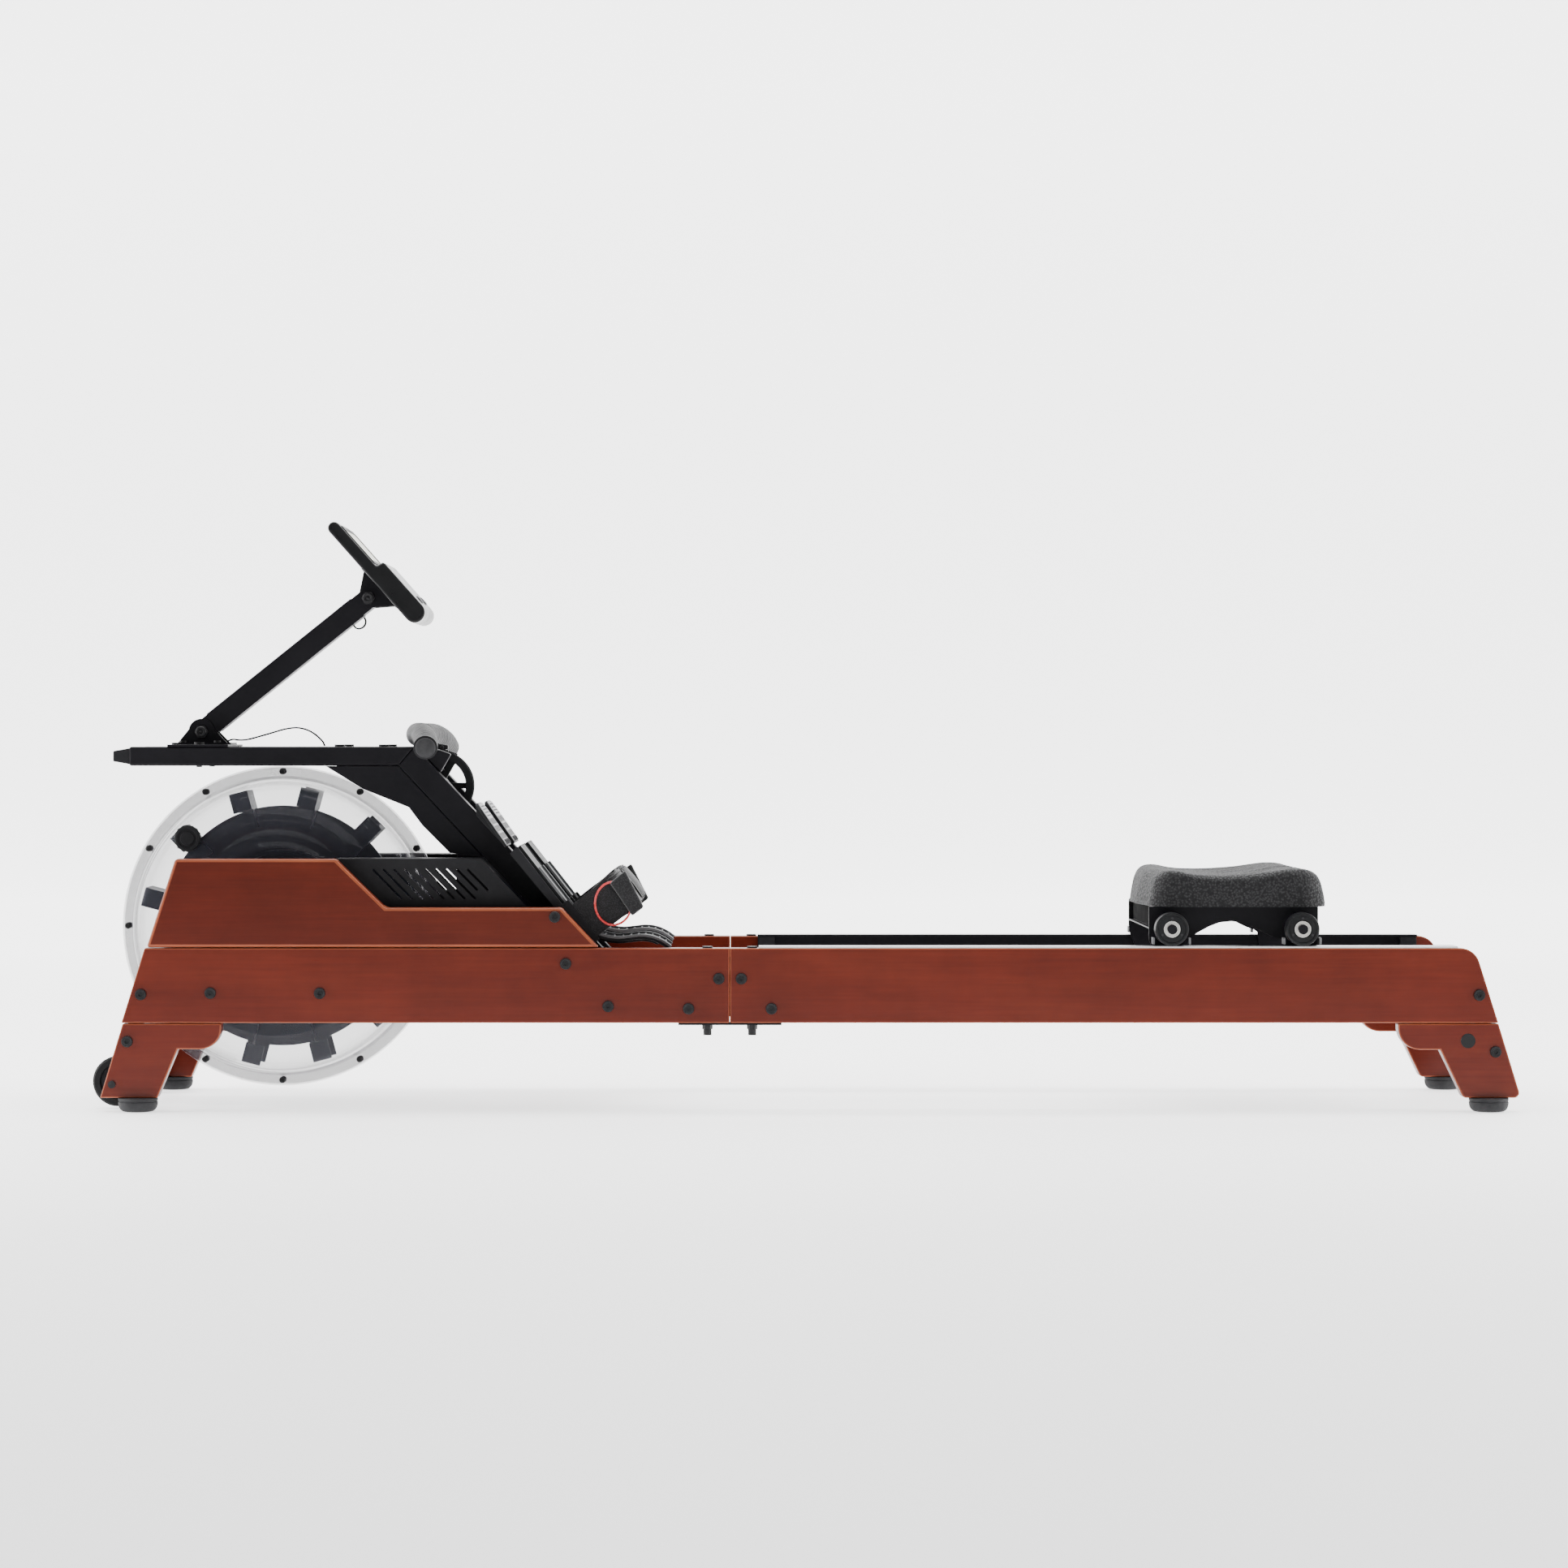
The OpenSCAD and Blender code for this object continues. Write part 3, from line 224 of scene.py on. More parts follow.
wood = wood_material("lacquered_wood")
wood_dark = wood_material("lacquered_wood_panel", 0.74)
# Brighter and more orange than the boards: a painted highlight, laid on the boards' rounded edges
wood_edge_highlight = wood_material("lacquered_wood_painted_highlight", 2.4, 2.0)
black_steel = speckled("black_powder_coat", (0.0045, 0.0043, 0.0056), (0.0078, 0.0075, 0.0094), 9,
                       (0.36, 0.48), 1500, 0.00025, spec=0.09)
fastener = speckled("black_oxide", (0.008, 0.008, 0.009), (0.02, 0.02, 0.021), 200,
                    (0.34, 0.52), 2600, 0.0001, metal=0.1, spec=0.2)
zinc = brushed_material("zinc_plate", (0.62, 0.61, 0.58), 0.26, (30, 1, 30))
aluminium = brushed_material("anodised_aluminium", (0.72, 0.72, 0.73), 0.3, (0.5, 40, 40))
black_plastic = speckled("black_moulded_plastic", (0.0068, 0.0068, 0.0078), (0.0115, 0.0115, 0.013), 14,
                         (0.42, 0.58), 900, 0.0003, spec=0.13)
grey_plastic = speckled("grey_moulded_plastic", (0.085, 0.086, 0.09), (0.125, 0.126, 0.13), 16,
                        (0.38, 0.52), 1100, 0.0003, spec=0.3)
gloss_black = speckled("gloss_black_plastic", (0.004, 0.004, 0.0046), (0.0065, 0.0065, 0.0072), 20,
                       (0.26, 0.36), 500, 0.00006, coat=0.05, spec=0.2)
navy = speckled("navy_moulded_plastic", (0.0024, 0.0052, 0.0098), (0.0048, 0.0086, 0.0150), 12,
                (0.34, 0.5), 700, 0.0003, spec=0.12)
rubber = speckled("foot_rubber", (0.013, 0.013, 0.0145), (0.024, 0.024, 0.026), 60,
                  (0.55, 0.75), 1400, 0.0004, spec=0.25)
grip_rubber = speckled("grip_rubber", (0.010, 0.010, 0.011), (0.018, 0.018, 0.0195), 40,
                       (0.46, 0.62), 1700, 0.0004, spec=0.25)
urethane = speckled("wheel_urethane", (0.0045, 0.0048, 0.0052), (0.009, 0.0095, 0.0102), 40,
                    (0.34, 0.48), 1500, 0.0002, spec=0.15)
cable_skin = speckled("cable_jacket", (0.004, 0.004, 0.0045), (0.008, 0.008, 0.009), 90,
                      (0.35, 0.5), 3000, 0.0001, spec=0.12)
red_wire = speckled("red_coated_wire", (0.42, 0.010, 0.012), (0.6, 0.018, 0.02), 70,
                    (0.22, 0.34), 900, 0.0001, coat=0.4)
# Near-black and matt, with almost no gloss: painted shade for the shadowed hollow of the seat carriage's
# front channel
hollow_painted_shade = speckled("painted_shade_steel", (0.0010, 0.0010, 0.0012), (0.0018, 0.0018, 0.0020), 30,
                        (0.8, 0.95), 900, 0.0002, spec=0.03)
clear_tank = clear_material("clear_polycarbonate", (0.085, 0.083, 0.102), 0.16, 0.05)
clear_seal = clear_material("clear_silicone_seal", (0.10, 0.09, 0.10), 0.34, 0.2)
strap_web = woven_material(
    "hook_and_loop_webbing", (0.0065, 0.0065, 0.0075), (0.028, 0.028, 0.03), 0.0017, 1900)
belt_web = woven_material("belt_webbing", (0.008, 0.008, 0.009), (0.03, 0.03, 0.032), 0.0013, 2400)


def seat_skin_material(name):
    """Moulded foam skin with a pebbled grain."""
    m, nt, b = new_material(name, (0.012, 0.012, 0.013), 0.6, spec=0.28)
    v = coordinates(nt)
    cells = nt.nodes.new("ShaderNodeTexVoronoi")
    cells.inputs["Scale"].default_value = 330
    nt.links.new(v, cells.inputs["Vector"])
    pebble = cells.outputs["Distance"]
    # The pebbled relief is real; its colour follows it, lighter on the raised pebbles and darker in the
    # grooves between them, which is painted shade in the grooves
    nt.links.new(
        ramp(nt, pebble, [(0.0, (0.019, 0.019, 0.0205)), (0.6, (0.0042, 0.0042, 0.0050))]),
        b.inputs["Base Color"],
    )
    nt.links.new(ramp(nt, pebble, [(0.1, grey(0.48)), (0.7, grey(0.8))]), b.inputs["Roughness"])
    first = bump(nt, b, pebble, 0.85, -0.0011)
    bump(nt, b, noise(nt, v, 190, 3), 0.35, 0.0011, first)
    return m


def display_material(name):
    """A pale liquid-crystal window with the faint outlines of its unlit segments."""
    m, nt, b = new_material(name, (0.5, 0.52, 0.46), 0.3, coat=0.1, coat_rough=0.1, spec=0.3)
    v = coordinates(nt)
    cells = nt.nodes.new("ShaderNodeTexBrick")
    cells.inputs["Scale"].default_value = 60
    cells.inputs["Color1"].default_value = (0.30, 0.285, 0.19, 1)
    cells.inputs["Color2"].default_value = (0.34, 0.325, 0.23, 1)
    cells.inputs["Mortar"].default_value = (0.15, 0.155, 0.13, 1)
    cells.inputs["Mortar Size"].default_value = 0.012
    nt.links.new(v, cells.inputs["Vector"])
    cloud = ramp(nt, noise(nt, v, 30, 3), [(0.3, grey(0.93)), (0.7, grey(1.05))])
    nt.links.new(mix(nt, 1.0, cells.outputs["Color"], cloud, "MULTIPLY"), b.inputs["Base Color"])
    return m


seat_skin = seat_skin_material("pebbled_seat_skin")
display = display_material("display_window")
plate_print = speckled("foot_plate_grey", (0.15, 0.15, 0.156), (0.21, 0.21, 0.217), 22,
                       (0.36, 0.5), 1200, 0.0003)

# ------------------------------------------------------------ mesh helpers


def arc(cx, cz, r, a0, a1, n=8):
    """Points on an arc in the side view, angles in degrees from +X towards +Z."""
    turns = [math.radians(a0 + (a1 - a0) * k / n) for k in range(n + 1)]
    return [(cx + r * math.cos(a), cz + r * math.sin(a)) for a in turns]


def signed_area(pts):
    return sum(a[0] * b[1] - b[0] * a[1] for a, b in zip(pts, pts[1:] + pts[:1]))


def prism(outline, y0, y1):
    """(vertices, faces) of a side-view outline, in mm, carried across from y0 to y1."""
    pts = list(outline) if signed_area(list(outline)) > 0 else list(outline)[::-1]
    n = len(pts)
    low, high = min(y0, y1), max(y0, y1)
    verts = [(x, low, z) for x, z in pts] + [(x, high, z) for x, z in pts]
    faces = [tuple(range(n)), tuple(range(2 * n - 1, n - 1, -1))]
    faces += [(k, k + n, (k + 1) % n + n, (k + 1) % n) for k in range(n)]
    return verts, faces


def lathe(profile, cx, cz, n=64, closed=False):
    """(vertices, faces) of (radius, y) points turned about a line along Y through (cx, cz)."""
    verts, faces, rings = [], [], []
    for r, y in profile:
        if r < 1e-6:
            rings.append([len(verts)] * n)
            verts.append((cx, y, cz))
            continue
        rings.append(list(range(len(verts), len(verts) + n)))
        for k in range(n):
            a = 2 * math.pi * k / n
            verts.append((cx + r * math.cos(a), y, cz + r * math.sin(a)))
    pairs = list(zip(rings, rings[1:]))
    if closed:
        pairs.append((rings[-1], rings[0]))
    for a, b in pairs:
        for k in range(n):
            j = (k + 1) % n
            face = []
            for v in (a[k], a[j], b[j], b[k]):
                if v not in face:
                    face.append(v)
            if len(face) > 2:
                faces.append(tuple(face))
    return verts, faces


def curve_through(points, steps=6):
    """A smooth line through the points, with each stretch cut into that many steps."""
    p = [Vector(q) for q in points]
    p = [p[0] * 2 - p[1]] + p + [p[-1] * 2 - p[-2]]
    out = []
    for i in range(1, len(p) - 2):
        a, b, c, d = p[i - 1], p[i], p[i + 1], p[i + 2]
        for k in range(steps):
            t = k / steps
            out.append(0.5 * ((2 * b) + (c - a) * t + (2 * a - 5 * b + 4 * c - d) * t * t
                              + (3 * b - a - 3 * c + d) * t ** 3))
    out.append(p[-2])
    return out


def tube(points, radii, sides=24, side_dir=(0, 1, 0)):
    """(vertices, faces) of a closed round bar along the points, with a radius at each."""
    pts = [Vector(q) for q in points]
    n = len(pts)
    radii = radii if isinstance(radii, (list, tuple)) else [radii] * n
    verts, faces = [], []
    for i, p in enumerate(pts):
        t = (pts[min(i + 1, n - 1)] - pts[max(i - 1, 0)]).normalized()
        u = t.cross(Vector(side_dir)).normalized()
        w = t.cross(u).normalized()
        for k in range(sides):
            a = 2 * math.pi * k / sides
            verts.append(tuple(p + (u * math.cos(a) + w * math.sin(a)) * radii[i]))
    for i in range(n - 1):
        for k in range(sides):
            j = (k + 1) % sides
            faces.append((i * sides + k, i * sides + j, (i + 1) * sides + j, (i + 1) * sides + k))
    faces.append(tuple(range(sides - 1, -1, -1)))
    faces.append(tuple(range((n - 1) * sides, n * sides)))
    return verts, faces


def block(x0, x1, y0, y1, z0, z1):
    return prism([(x0, z0), (x1, z0), (x1, z1), (x0, z1)], y0, y1)


def bar(x, z, y0, y1, r, n=32, soft=0.4):
    """A turned pin or disc across the machine with softened rims."""
    lo, hi = min(y0, y1), max(y0, y1)
    s = min(soft, r * 0.3, (hi - lo) * 0.3)
    return lathe([(0, lo), (r - s, lo), (r, lo + s), (r, hi - s), (r - s, hi), (0, hi)], x, z, n)


def moved(part, matrix):
    verts, faces = part
    return [tuple(matrix @ Vector(v)) for v in verts], faces


def mirrored(part):
    verts, faces = part
    return [(x, -y, z) for x, y, z in verts], [f[::-1] for f in faces]


def make(name, parts, mat, body, slot, *stands, bevel=0.0, segs=3, angle=38, edge=None):
    """One piece from closed parts in mm: it rides on a body and may stand for CAD nodes."""
    bm = bmesh.new()
    for verts, faces in parts:
        vs = [bm.verts.new(Vector(v) * MM) for v in verts]
        for f in faces:
            bm.faces.new([vs[k] for k in f])
    bmesh.ops.recalc_face_normals(bm, faces=bm.faces)
    mesh = bpy.data.meshes.new(name)
    bm.to_mesh(mesh)
    bm.free()
    for p in mesh.polygons:
        p.use_smooth = True
    o = bpy.data.objects.new(name, mesh)
    bpy.context.scene.collection.objects.link(o)
    mesh.materials.append(mat)
    if bevel:
        m = o.modifiers.new("rounded_edges", "BEVEL")
        m.width = bevel * MM
        m.segments = segs
        m.limit_method = "ANGLE"
        m.angle_limit = math.radians(angle)
        m.harden_normals = True
        if edge is not None:
            # The rounded faces take this second material; on the boards it is the lighter orange wood, a
            # painted highlight along the edges
            mesh.materials.append(edge)
            m.material = 1
    else:
        mesh.set_sharp_from_angle(angle=math.radians(angle))
    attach(o, body)
    if stands:
        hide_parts(*stands)
    return o


def pair(name, part_list, mat, body, slot, *stands, **kw):
    """The near piece and its mirror on the far side, as two pieces."""
    near = make("left_" + name, part_list, mat, body, slot, *stands, **kw)
    far = make("right_" + name, [mirrored(p) for p in part_list], mat, body, slot, *stands, **kw)
    return near, far


# ------------------------------------------------------- wooden side frames

BOARD = (-185, -160)
front_rail = [(-913.4, 119), (-98.3, 119), (-98.3, 219), (-882.4, 219)]
CORNER_R = 26
corner_z = 219 - CORNER_R
rear_slope = math.radians(17.4)
rear_line = 932 * math.cos(rear_slope) + 119 * math.sin(rear_slope)
corner_x = (rear_line - CORNER_R - corner_z * math.sin(rear_slope)) / math.cos(rear_slope)
rear_rail = [(-97.7, 119), (932, 119)] + arc(corner_x, corner_z, CORNER_R, 17.4, 90, 12) + [(-97.7, 219)]
tank_panel = [(-880, 220), (-273.5, 220), (-323.8, 273.4), (-559.4, 273.4), (-626.3, 338.7), (-841.6, 338.7)]
front_leg = [(-779.7, 118), (-911.8, 118), (-942, 18.5), (-865, 18.5), (-838, 83.7)]
front_leg += arc(-807.7, 111.7, 28, -90, 0, 8)
rear_leg = ([(932.2, 118), (797.7, 118)] + arc(826.7, 112, 29, 180, 270, 8) + [(854, 83)]
            + arc(889, 25, 6.5, 205, 270, 4) + arc(953, 25.5, 7, -90, 15, 5))
for name, outline, mat, node, round_over, steps in (
    ("front_rail_boards", front_rail, wood, "front_rails", 1.5, 3),
    ("rear_rail_boards", rear_rail, wood, "rear_rails", 1.5, 3),
    ("tank_panel_boards", tank_panel, wood_dark, "tank_panels", 4.2, 5),
    ("front_leg_boards", front_leg, wood, "front_legs", 1.8, 4),
    ("rear_leg_boards", rear_leg, wood, "rear_legs", 1.8, 4),
):
    near_board = prism(outline, *BOARD)
    # The rounded edges of each board take the edge material: a painted highlight
    make(name, [near_board, mirrored(near_board)], mat, "frame", "lacquered_wood", node,
         bevel=round_over, segs=steps, edge=wood_edge_highlight)

# ----------------------------------------------------------- steel frame

TUBE_Y = (-84, -54)
TUBE_LOW, TUBE_HIGH, TUBE_FRONT = 463, 489, -918
tube_side = prism(
    [(TUBE_FRONT, TUBE_LOW), (-550, TUBE_LOW), (-527.8, TUBE_HIGH), (TUBE_FRONT, TUBE_HIGH)], *TUBE_Y)
make("top_tube_pair", [tube_side, mirrored(tube_side)], black_steel, "frame", "black_steel", "top_tubes",
     bevel=3.2, segs=4)

# Raised rims and hexagon collars on the bolt heads, near and far
bolt_spots = [
    (-905.5, 94), (-887.3, 157.1), (-794.1, 158.9), (-647.5, 158.7), (-332.6, 260.9), (-317.9, 198.2),
    (-261, 141.2), (-153.3, 138), (-112.7, 178.2), (-82.6, 178.2), (-42.2, 138), (906.2, 156.3),
    (927.9, 80.3),
]
RIM_PROFILE = [
    (4.9, -188.3), (6.9, -188.3), (7.1, -187.2), (7.1, -185.05), (7.6, -185.05), (7.6, -187.4), (7.0, -189.0),
    (5.5, -189.0),
]
HEX_PROFILE = [(2.9, -188.4), (4.1, -188.4), (4.1, -188.9), (2.9, -188.9)]
for name, profile, sides, mat, angle in (
    ("bolt_rims", RIM_PROFILE, 40, fastener, 30),
    ("bolt_hexagons", HEX_PROFILE, 6, gloss_black, 20),
):
    heads = [lathe(profile, x, z, sides, closed=True) for x, z in bolt_spots]
    make(name, heads + [mirrored(p) for p in heads], mat, "frame", "black_fasteners", angle=angle)

# ------------------------------------------------------------------ tank

TANK_X, TANK_Z = -717, 241.5


def shell(side):
    """One half of the moulded tank, thick-walled, with a stepped rim and a ribbed face."""
    outer = [
        (221, 1.0), (221, 6.0), (220.2, 7.2), (214.5, 7.6), (213.0, 8.6), (209.5, 8.8), (207.6, 9.6),
        (206.6, 12), (206.0, 20), (204.6, 30), (202.8, 42), (200.2, 54), (197.4, 64), (194.6, 71),
        (191.0, 76.4), (186.0, 79.3), (180.0, 80), (150, 80), (148.6, 81.2), (146.0, 81.2), (144.6, 80),
        (112, 80), (110.6, 81.0), (108.2, 81.0), (106.8, 80), (64, 80), (60, 80.8), (55, 84.4), (51.5, 89.4),
        (49.6, 91.6), (48.4, 92),
    ]
    inner = [
        (21.05, 92), (21.05, 79), (14, 79), (14, 75), (181, 75), (186, 73.6), (190.4, 68.4), (194.4, 56),
        (197.2, 42), (199.0, 26), (200.2, 12), (200.5, 1.0),
    ]
    return lathe([(r, side * y) for r, y in outer + inner], TANK_X, TANK_Z, 128, closed=True)


make("left_tank_half", [shell(-1)], clear_tank, "frame", "clear_tank", "left_tank_shell", angle=50)
make("right_tank_half", [shell(1)], clear_tank, "frame", "clear_tank", "right_tank_shell", angle=50)

def two_sides(profile):
    """A turned profile of (radius, y) on the far side, and the same on the near side."""
    return [[(r, side * y) for r, y in profile] for side in (-1, 1)]


SCREW_CIRCLE_R, SCREW_COUNT = 213.5, 12
SCREW_PROFILE = [
    (0, 10.4), (1.7, 10.4), (1.6, 12.2), (3.0, 12.2), (3.5, 11.4), (3.5, 9.2), (4.4, 9.0), (4.4, 7.8),
    (0, 7.8),
]
screws = []
for x, z in arc(TANK_X, TANK_Z, SCREW_CIRCLE_R, 90, 450, SCREW_COUNT)[:-1]:
    screws += [lathe(profile, x, z, 20) for profile in two_sides(SCREW_PROFILE)]
make("tank_rim_screws", screws, fastener, "frame", "black_fasteners", "tank_screws", angle=30)

plug_x, plug_z = arc(TANK_X, TANK_Z, 172, 134.7, 134.7, 1)[0]
PLUG_PROFILE = [
    (0, -88.2), (9, -88.2), (9.8, -87.0), (12.4, -87.0), (13.2, -88.2), (16.4, -88.2), (17.8, -86.8),
    (18, -81.4), (17.4, -80.4), (0, -80.4),
]
PLUG_LUGS = 16
plug_cap = lathe(PLUG_PROFILE, plug_x, plug_z, 48)
plug_lugs = []
for k in range(PLUG_LUGS):
    turn = Matrix.Translation((plug_x, 0, plug_z)) @ Matrix.Rotation(-2 * math.pi * k / PLUG_LUGS, 4, "Y")
    plug_lugs.append(moved(block(15.4, 18.5, -87.2, -81.0, -1.3, 1.3), turn))
plug_slot = block(plug_x - 7.6, plug_x + 7.6, -88.3, -86.9, plug_z - 1.6, plug_z + 1.6)
plug_neck = lathe([(0, -60.5), (10.4, -60.5), (10.8, -61), (10.8, -80.8), (0, -80.8)], plug_x, plug_z, 32)
make("fill_cap", [plug_cap, plug_slot, plug_neck] + plug_lugs, black_plastic, "fill_plug", "black_plastic",
     "fill_plug", bevel=0.35, segs=2)

# ---------------------------------------------------------------- handle


def handle_point(y):
    s = min(1.0, abs(y) / 220)
    droop = max(0.0, (abs(y) - 95) / 125)
    return Vector((-529 + 25.3 * (1 - math.cos(math.pi * s)) / 2, y, 505.8 - 19.6 * droop ** 1.6))


GRIP_END_Y = 212
BAR_STEPS = 160
bar_line = [handle_point(GRIP_END_Y * (2 * k / BAR_STEPS - 1)) for k in range(BAR_STEPS + 1)]
make("handle_bar_steel", [tube(bar_line, 11.9, 32, (0, 0, 1))], black_steel, "handle", "black_steel",
     "handle_bar",
     angle=60)
yoke = [(-534, 499), (-529, 493.5), (-506, 485.2), (-488, 485.2), (-488, 491), (-500, 493), (-516, 505)]
make("handle_yoke", [prism(yoke, -9, 9)], black_plastic, "handle", "black_steel", bevel=1.6, segs=3)
clip = [block(-499, -491, -10.4, 10.4, 483.2, 485.6), bar(-496, 488, -10.6, 10.6, 2.6, 24, 0.5)]
make("belt_clip", clip, fastener, "handle", "black_fasteners", bevel=0.4, segs=2)


def grip(side):
    """One moulded grip: a flared inner collar, a long body with finger grooves, and a stepped end."""
    start_y, steps, pitch = 40, 240, 9.4
    line, radii = [], []
    for k in range(steps + 1):
        y = start_y + (GRIP_END_Y - start_y) * k / steps
        groove = abs(((y - 52) / pitch) % 1.0 - 0.5)
        r = 15.4 if groove > 0.44 and 52 < y < 202 else 15.95
        if y < 44:
            r = 16.2
        elif y < 46:
            r = 15.3
        elif y > 206:
            r = 15.9 if y < 209.5 else 15.0
        line.append(handle_point(side * y))
        radii.append(r)
    return tube(line, radii, 40, (0, 0, 1))


for side, label in ((-1, "left"), (1, "right")):
    make(label + "_grip", [grip(side)], grip_rubber, "handle", "grip_rubber", "handle_grips", angle=60)
    rim_line = [handle_point(side * y) for y in (209.0, 209.6, 212.9, 213.4)]
    make(label + "_grip_rim", [tube(rim_line, [15.8, 16.2, 16.2, 15.4], 48, (0, 0, 1))], black_plastic,
         "handle", "black_plastic", angle=50)
    cap_line = [handle_point(side * y) for y in (210.5, 213.6, 215.0, 216.0, 216.5)]
    make(label + "_grip_cap", [tube(cap_line, [13.5, 13.6, 13.4, 12.6, 11.0], 40, (0, 0, 1))], rubber,
         "handle", "foot_rubber", "grip_caps", angle=60)

# --------------------------------------------------------------- monitor

TILT = Matrix.Translation((-597.35, 0, 693.98)) @ Matrix.Rotation(math.radians(48.4), 4, "Y")
CASE_HALF = 86


# The case from the side: a thin upper part with the display, and a thicker lower part with the buttons
case_outline = arc(-97, 31.5, 8.5, 90, 270, 12) + [(-40, 23)] + arc(62, 37.25, 14.25, -90, 90, 14)
case_outline += [(0, 51.5), (-16, 51.5), (-18, 49.5), (-20, 40)]
make("monitor_housing", [moved(prism(case_outline, -CASE_HALF, CASE_HALF), TILT)], gloss_black, "monitor",
     "gloss_black", "monitor_case", bevel=4.2, segs=5, angle=40)
bezel = []
for x0, x1, y0, y1 in ((-93, -24, -80, -73), (-93, -24, 73, 80), (-93, -86, -73, 73), (-31, -24, -73, 73)):
    bezel.append(moved(block(x0, x1, y0, y1, 39.6, 41.4), TILT))
make("monitor_bezel", bezel, black_plastic, "monitor", "black_plastic", bevel=0.7, segs=2)
make("monitor_window", [moved(block(-86.2, -30.8, -73.2, 73.2, 39.4, 40.5), TILT)], display, "monitor",
     "display",
     "monitor_screen", bevel=0.2, segs=2)
back = []
for k in range(7):
    back.append(moved(block(-84 + 9 * k, -80 + 9 * k, -52, 52, 22.5, 23.6), TILT))
make("monitor_back_ribs", back, black_plastic, "monitor", "black_plastic", bevel=0.4, segs=2)
BUTTON_PROFILE = [(0, 0), (6.9, 0), (6.9, 2.6), (6.4, 3.5), (5.2, 4.0), (3.0, 3.6), (0, 3.4)]
BUTTON_FOOT = 49.9
for node in ("mode_button", "reset_button"):
    low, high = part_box(node)
    middle = TILT.inverted() @ Vector((low + high) / 2 / MM)
    place = Matrix.Translation((middle.x, middle.y, BUTTON_FOOT)) @ Matrix.Rotation(math.radians(90), 4, "X")
    cap = moved(lathe(BUTTON_PROFILE, 0, 0, 40), TILT @ place)
    make(node + "_cap", [cap], grey_plastic, node, "grey_plastic", node, angle=30)

# ------------------------------------------------------------------ seat

SEAT_HALF = 163
PAD_MID = (583.5, 297)
pad_line = [
    (463, 273.4), (510, 273.4), (660, 273.4), (703, 273.4), (706.6, 275.4), (706.2, 284), (703.6, 297),
    (699.6, 309.5), (692.5, 318.2), (680, 323.2), (662, 323.8), (640, 320.8), (610, 316.4), (575, 314.2),
    (540, 315), (516, 317.4), (502, 320.2), (490, 321.6), (479.5, 320.6), (471.5, 315.8), (467, 309),
    (463.5, 299), (461.5, 288), (460.2, 276.4),
]


def seat_loop(steps=4):
    pts = [Vector((x, z, 0)) for x, z in pad_line]
    n = len(pts)
    out = []
    for i in range(n):
        a, b, c, d = pts[i - 1], pts[i], pts[(i + 1) % n], pts[(i + 2) % n]
        for k in range(steps):
            t = k / steps
            q = 0.5 * (
                (2 * b) + (c - a) * t + (2 * a - 5 * b + 4 * c - d) * t * t
                + (3 * b - a - 3 * c + d) * t ** 3)
            out.append((q.x, max(273.4, q.y)))
    return out


def seat_section(y, loop):
    """The pad's side outline at a distance y from the middle, drawn in towards the ends."""
    w = abs(y)
    corner = max(0.0, w - (SEAT_HALF - 34))
    dx = 34 - math.sqrt(max(0.0, 34 ** 2 - corner ** 2))
    edge = max(0.0, w - (SEAT_HALF - 15))
    dz = 15 - math.sqrt(max(0.0, 15 ** 2 - edge ** 2))
    kx = (123 - dx) / 123
    nose = 9 * max(0.0, min(1.0, (w - 45) / 84))
    rows = []
    for x, z in loop:
        px = PAD_MID[0] + (x - PAD_MID[0]) * kx
        if x < PAD_MID[0]:
            px += nose * (PAD_MID[0] - px) / 123
        up = z - PAD_MID[1]
        if up > 0:
            pz = PAD_MID[1] + up * (1 - 0.86 * dz / 27)
            hollow = 4.2 * math.exp(-((x - 600) / 46) ** 2 - ((w - 58) / 36) ** 2)
            channel = 5.0 * math.exp(-((w) / 15) ** 2) * max(0.0, min(1.0, (x - 585) / 60))
            rim = 2.4 * math.exp(-((w - 138) / 16) ** 2) * math.exp(-((x - 590) / 70) ** 2)
            if z > 312:
                pz += rim - hollow - channel
        else:
            pz = z
        rows.append((px, y, pz))
    return rows


loop = seat_loop()
stations = [SEAT_HALF * math.sin(math.pi / 2 * k / 44) for k in range(-44, 45)]
rows = [seat_section(y, loop) for y in stations]
seat_verts = [p for row in rows for p in row]
count = len(loop)
seat_faces = [tuple(range(count)), tuple(range(len(seat_verts) - 1, len(seat_verts) - 1 - count, -1))]
for i in range(len(rows) - 1):
    for k in range(count):
        j = (k + 1) % count
        seat_faces.append((i * count + k, i * count + j, (i + 1) * count + j, (i + 1) * count + k))
seat = make("seat_cushion", [(seat_verts, seat_faces)], seat_skin, "seat", "pad_foam", "seat_pad", angle=70)

AXLE_Z, ROLLER_Z = 244.4, 204.7
TYRE_PROFILE = [
    (11.1, 164), (17.6, 164), (18.4, 163.4), (20.8, 163.4), (22.1, 164.2), (22.5, 165.6), (22.5, 184.4),
    (22.1, 185.8), (20.8, 186.6), (18.6, 186.6), (17.8, 185.6), (12.4, 185.6), (11.1, 184.8),
]
BEARING_PROFILE = [
    (4.3, 166), (11.0, 166), (11.0, 185.2), (9.3, 185.2), (8.9, 184.3), (6.4, 184.3), (6.0, 185.4),
    (4.3, 185.4),
]
NUT_PROFILE = [(0, 185.6), (5.6, 185.6), (6.2, 186.2), (6.2, 188.6), (5.4, 189.4), (0, 189.4)]
ROLLER_PROFILE = [
    (4.2, 146.6), (12.6, 146.6), (13.8, 147.8), (14, 149.4), (14, 153.6), (13.8, 155.0), (12.6, 156.2),
    (4.2, 156.2),
]
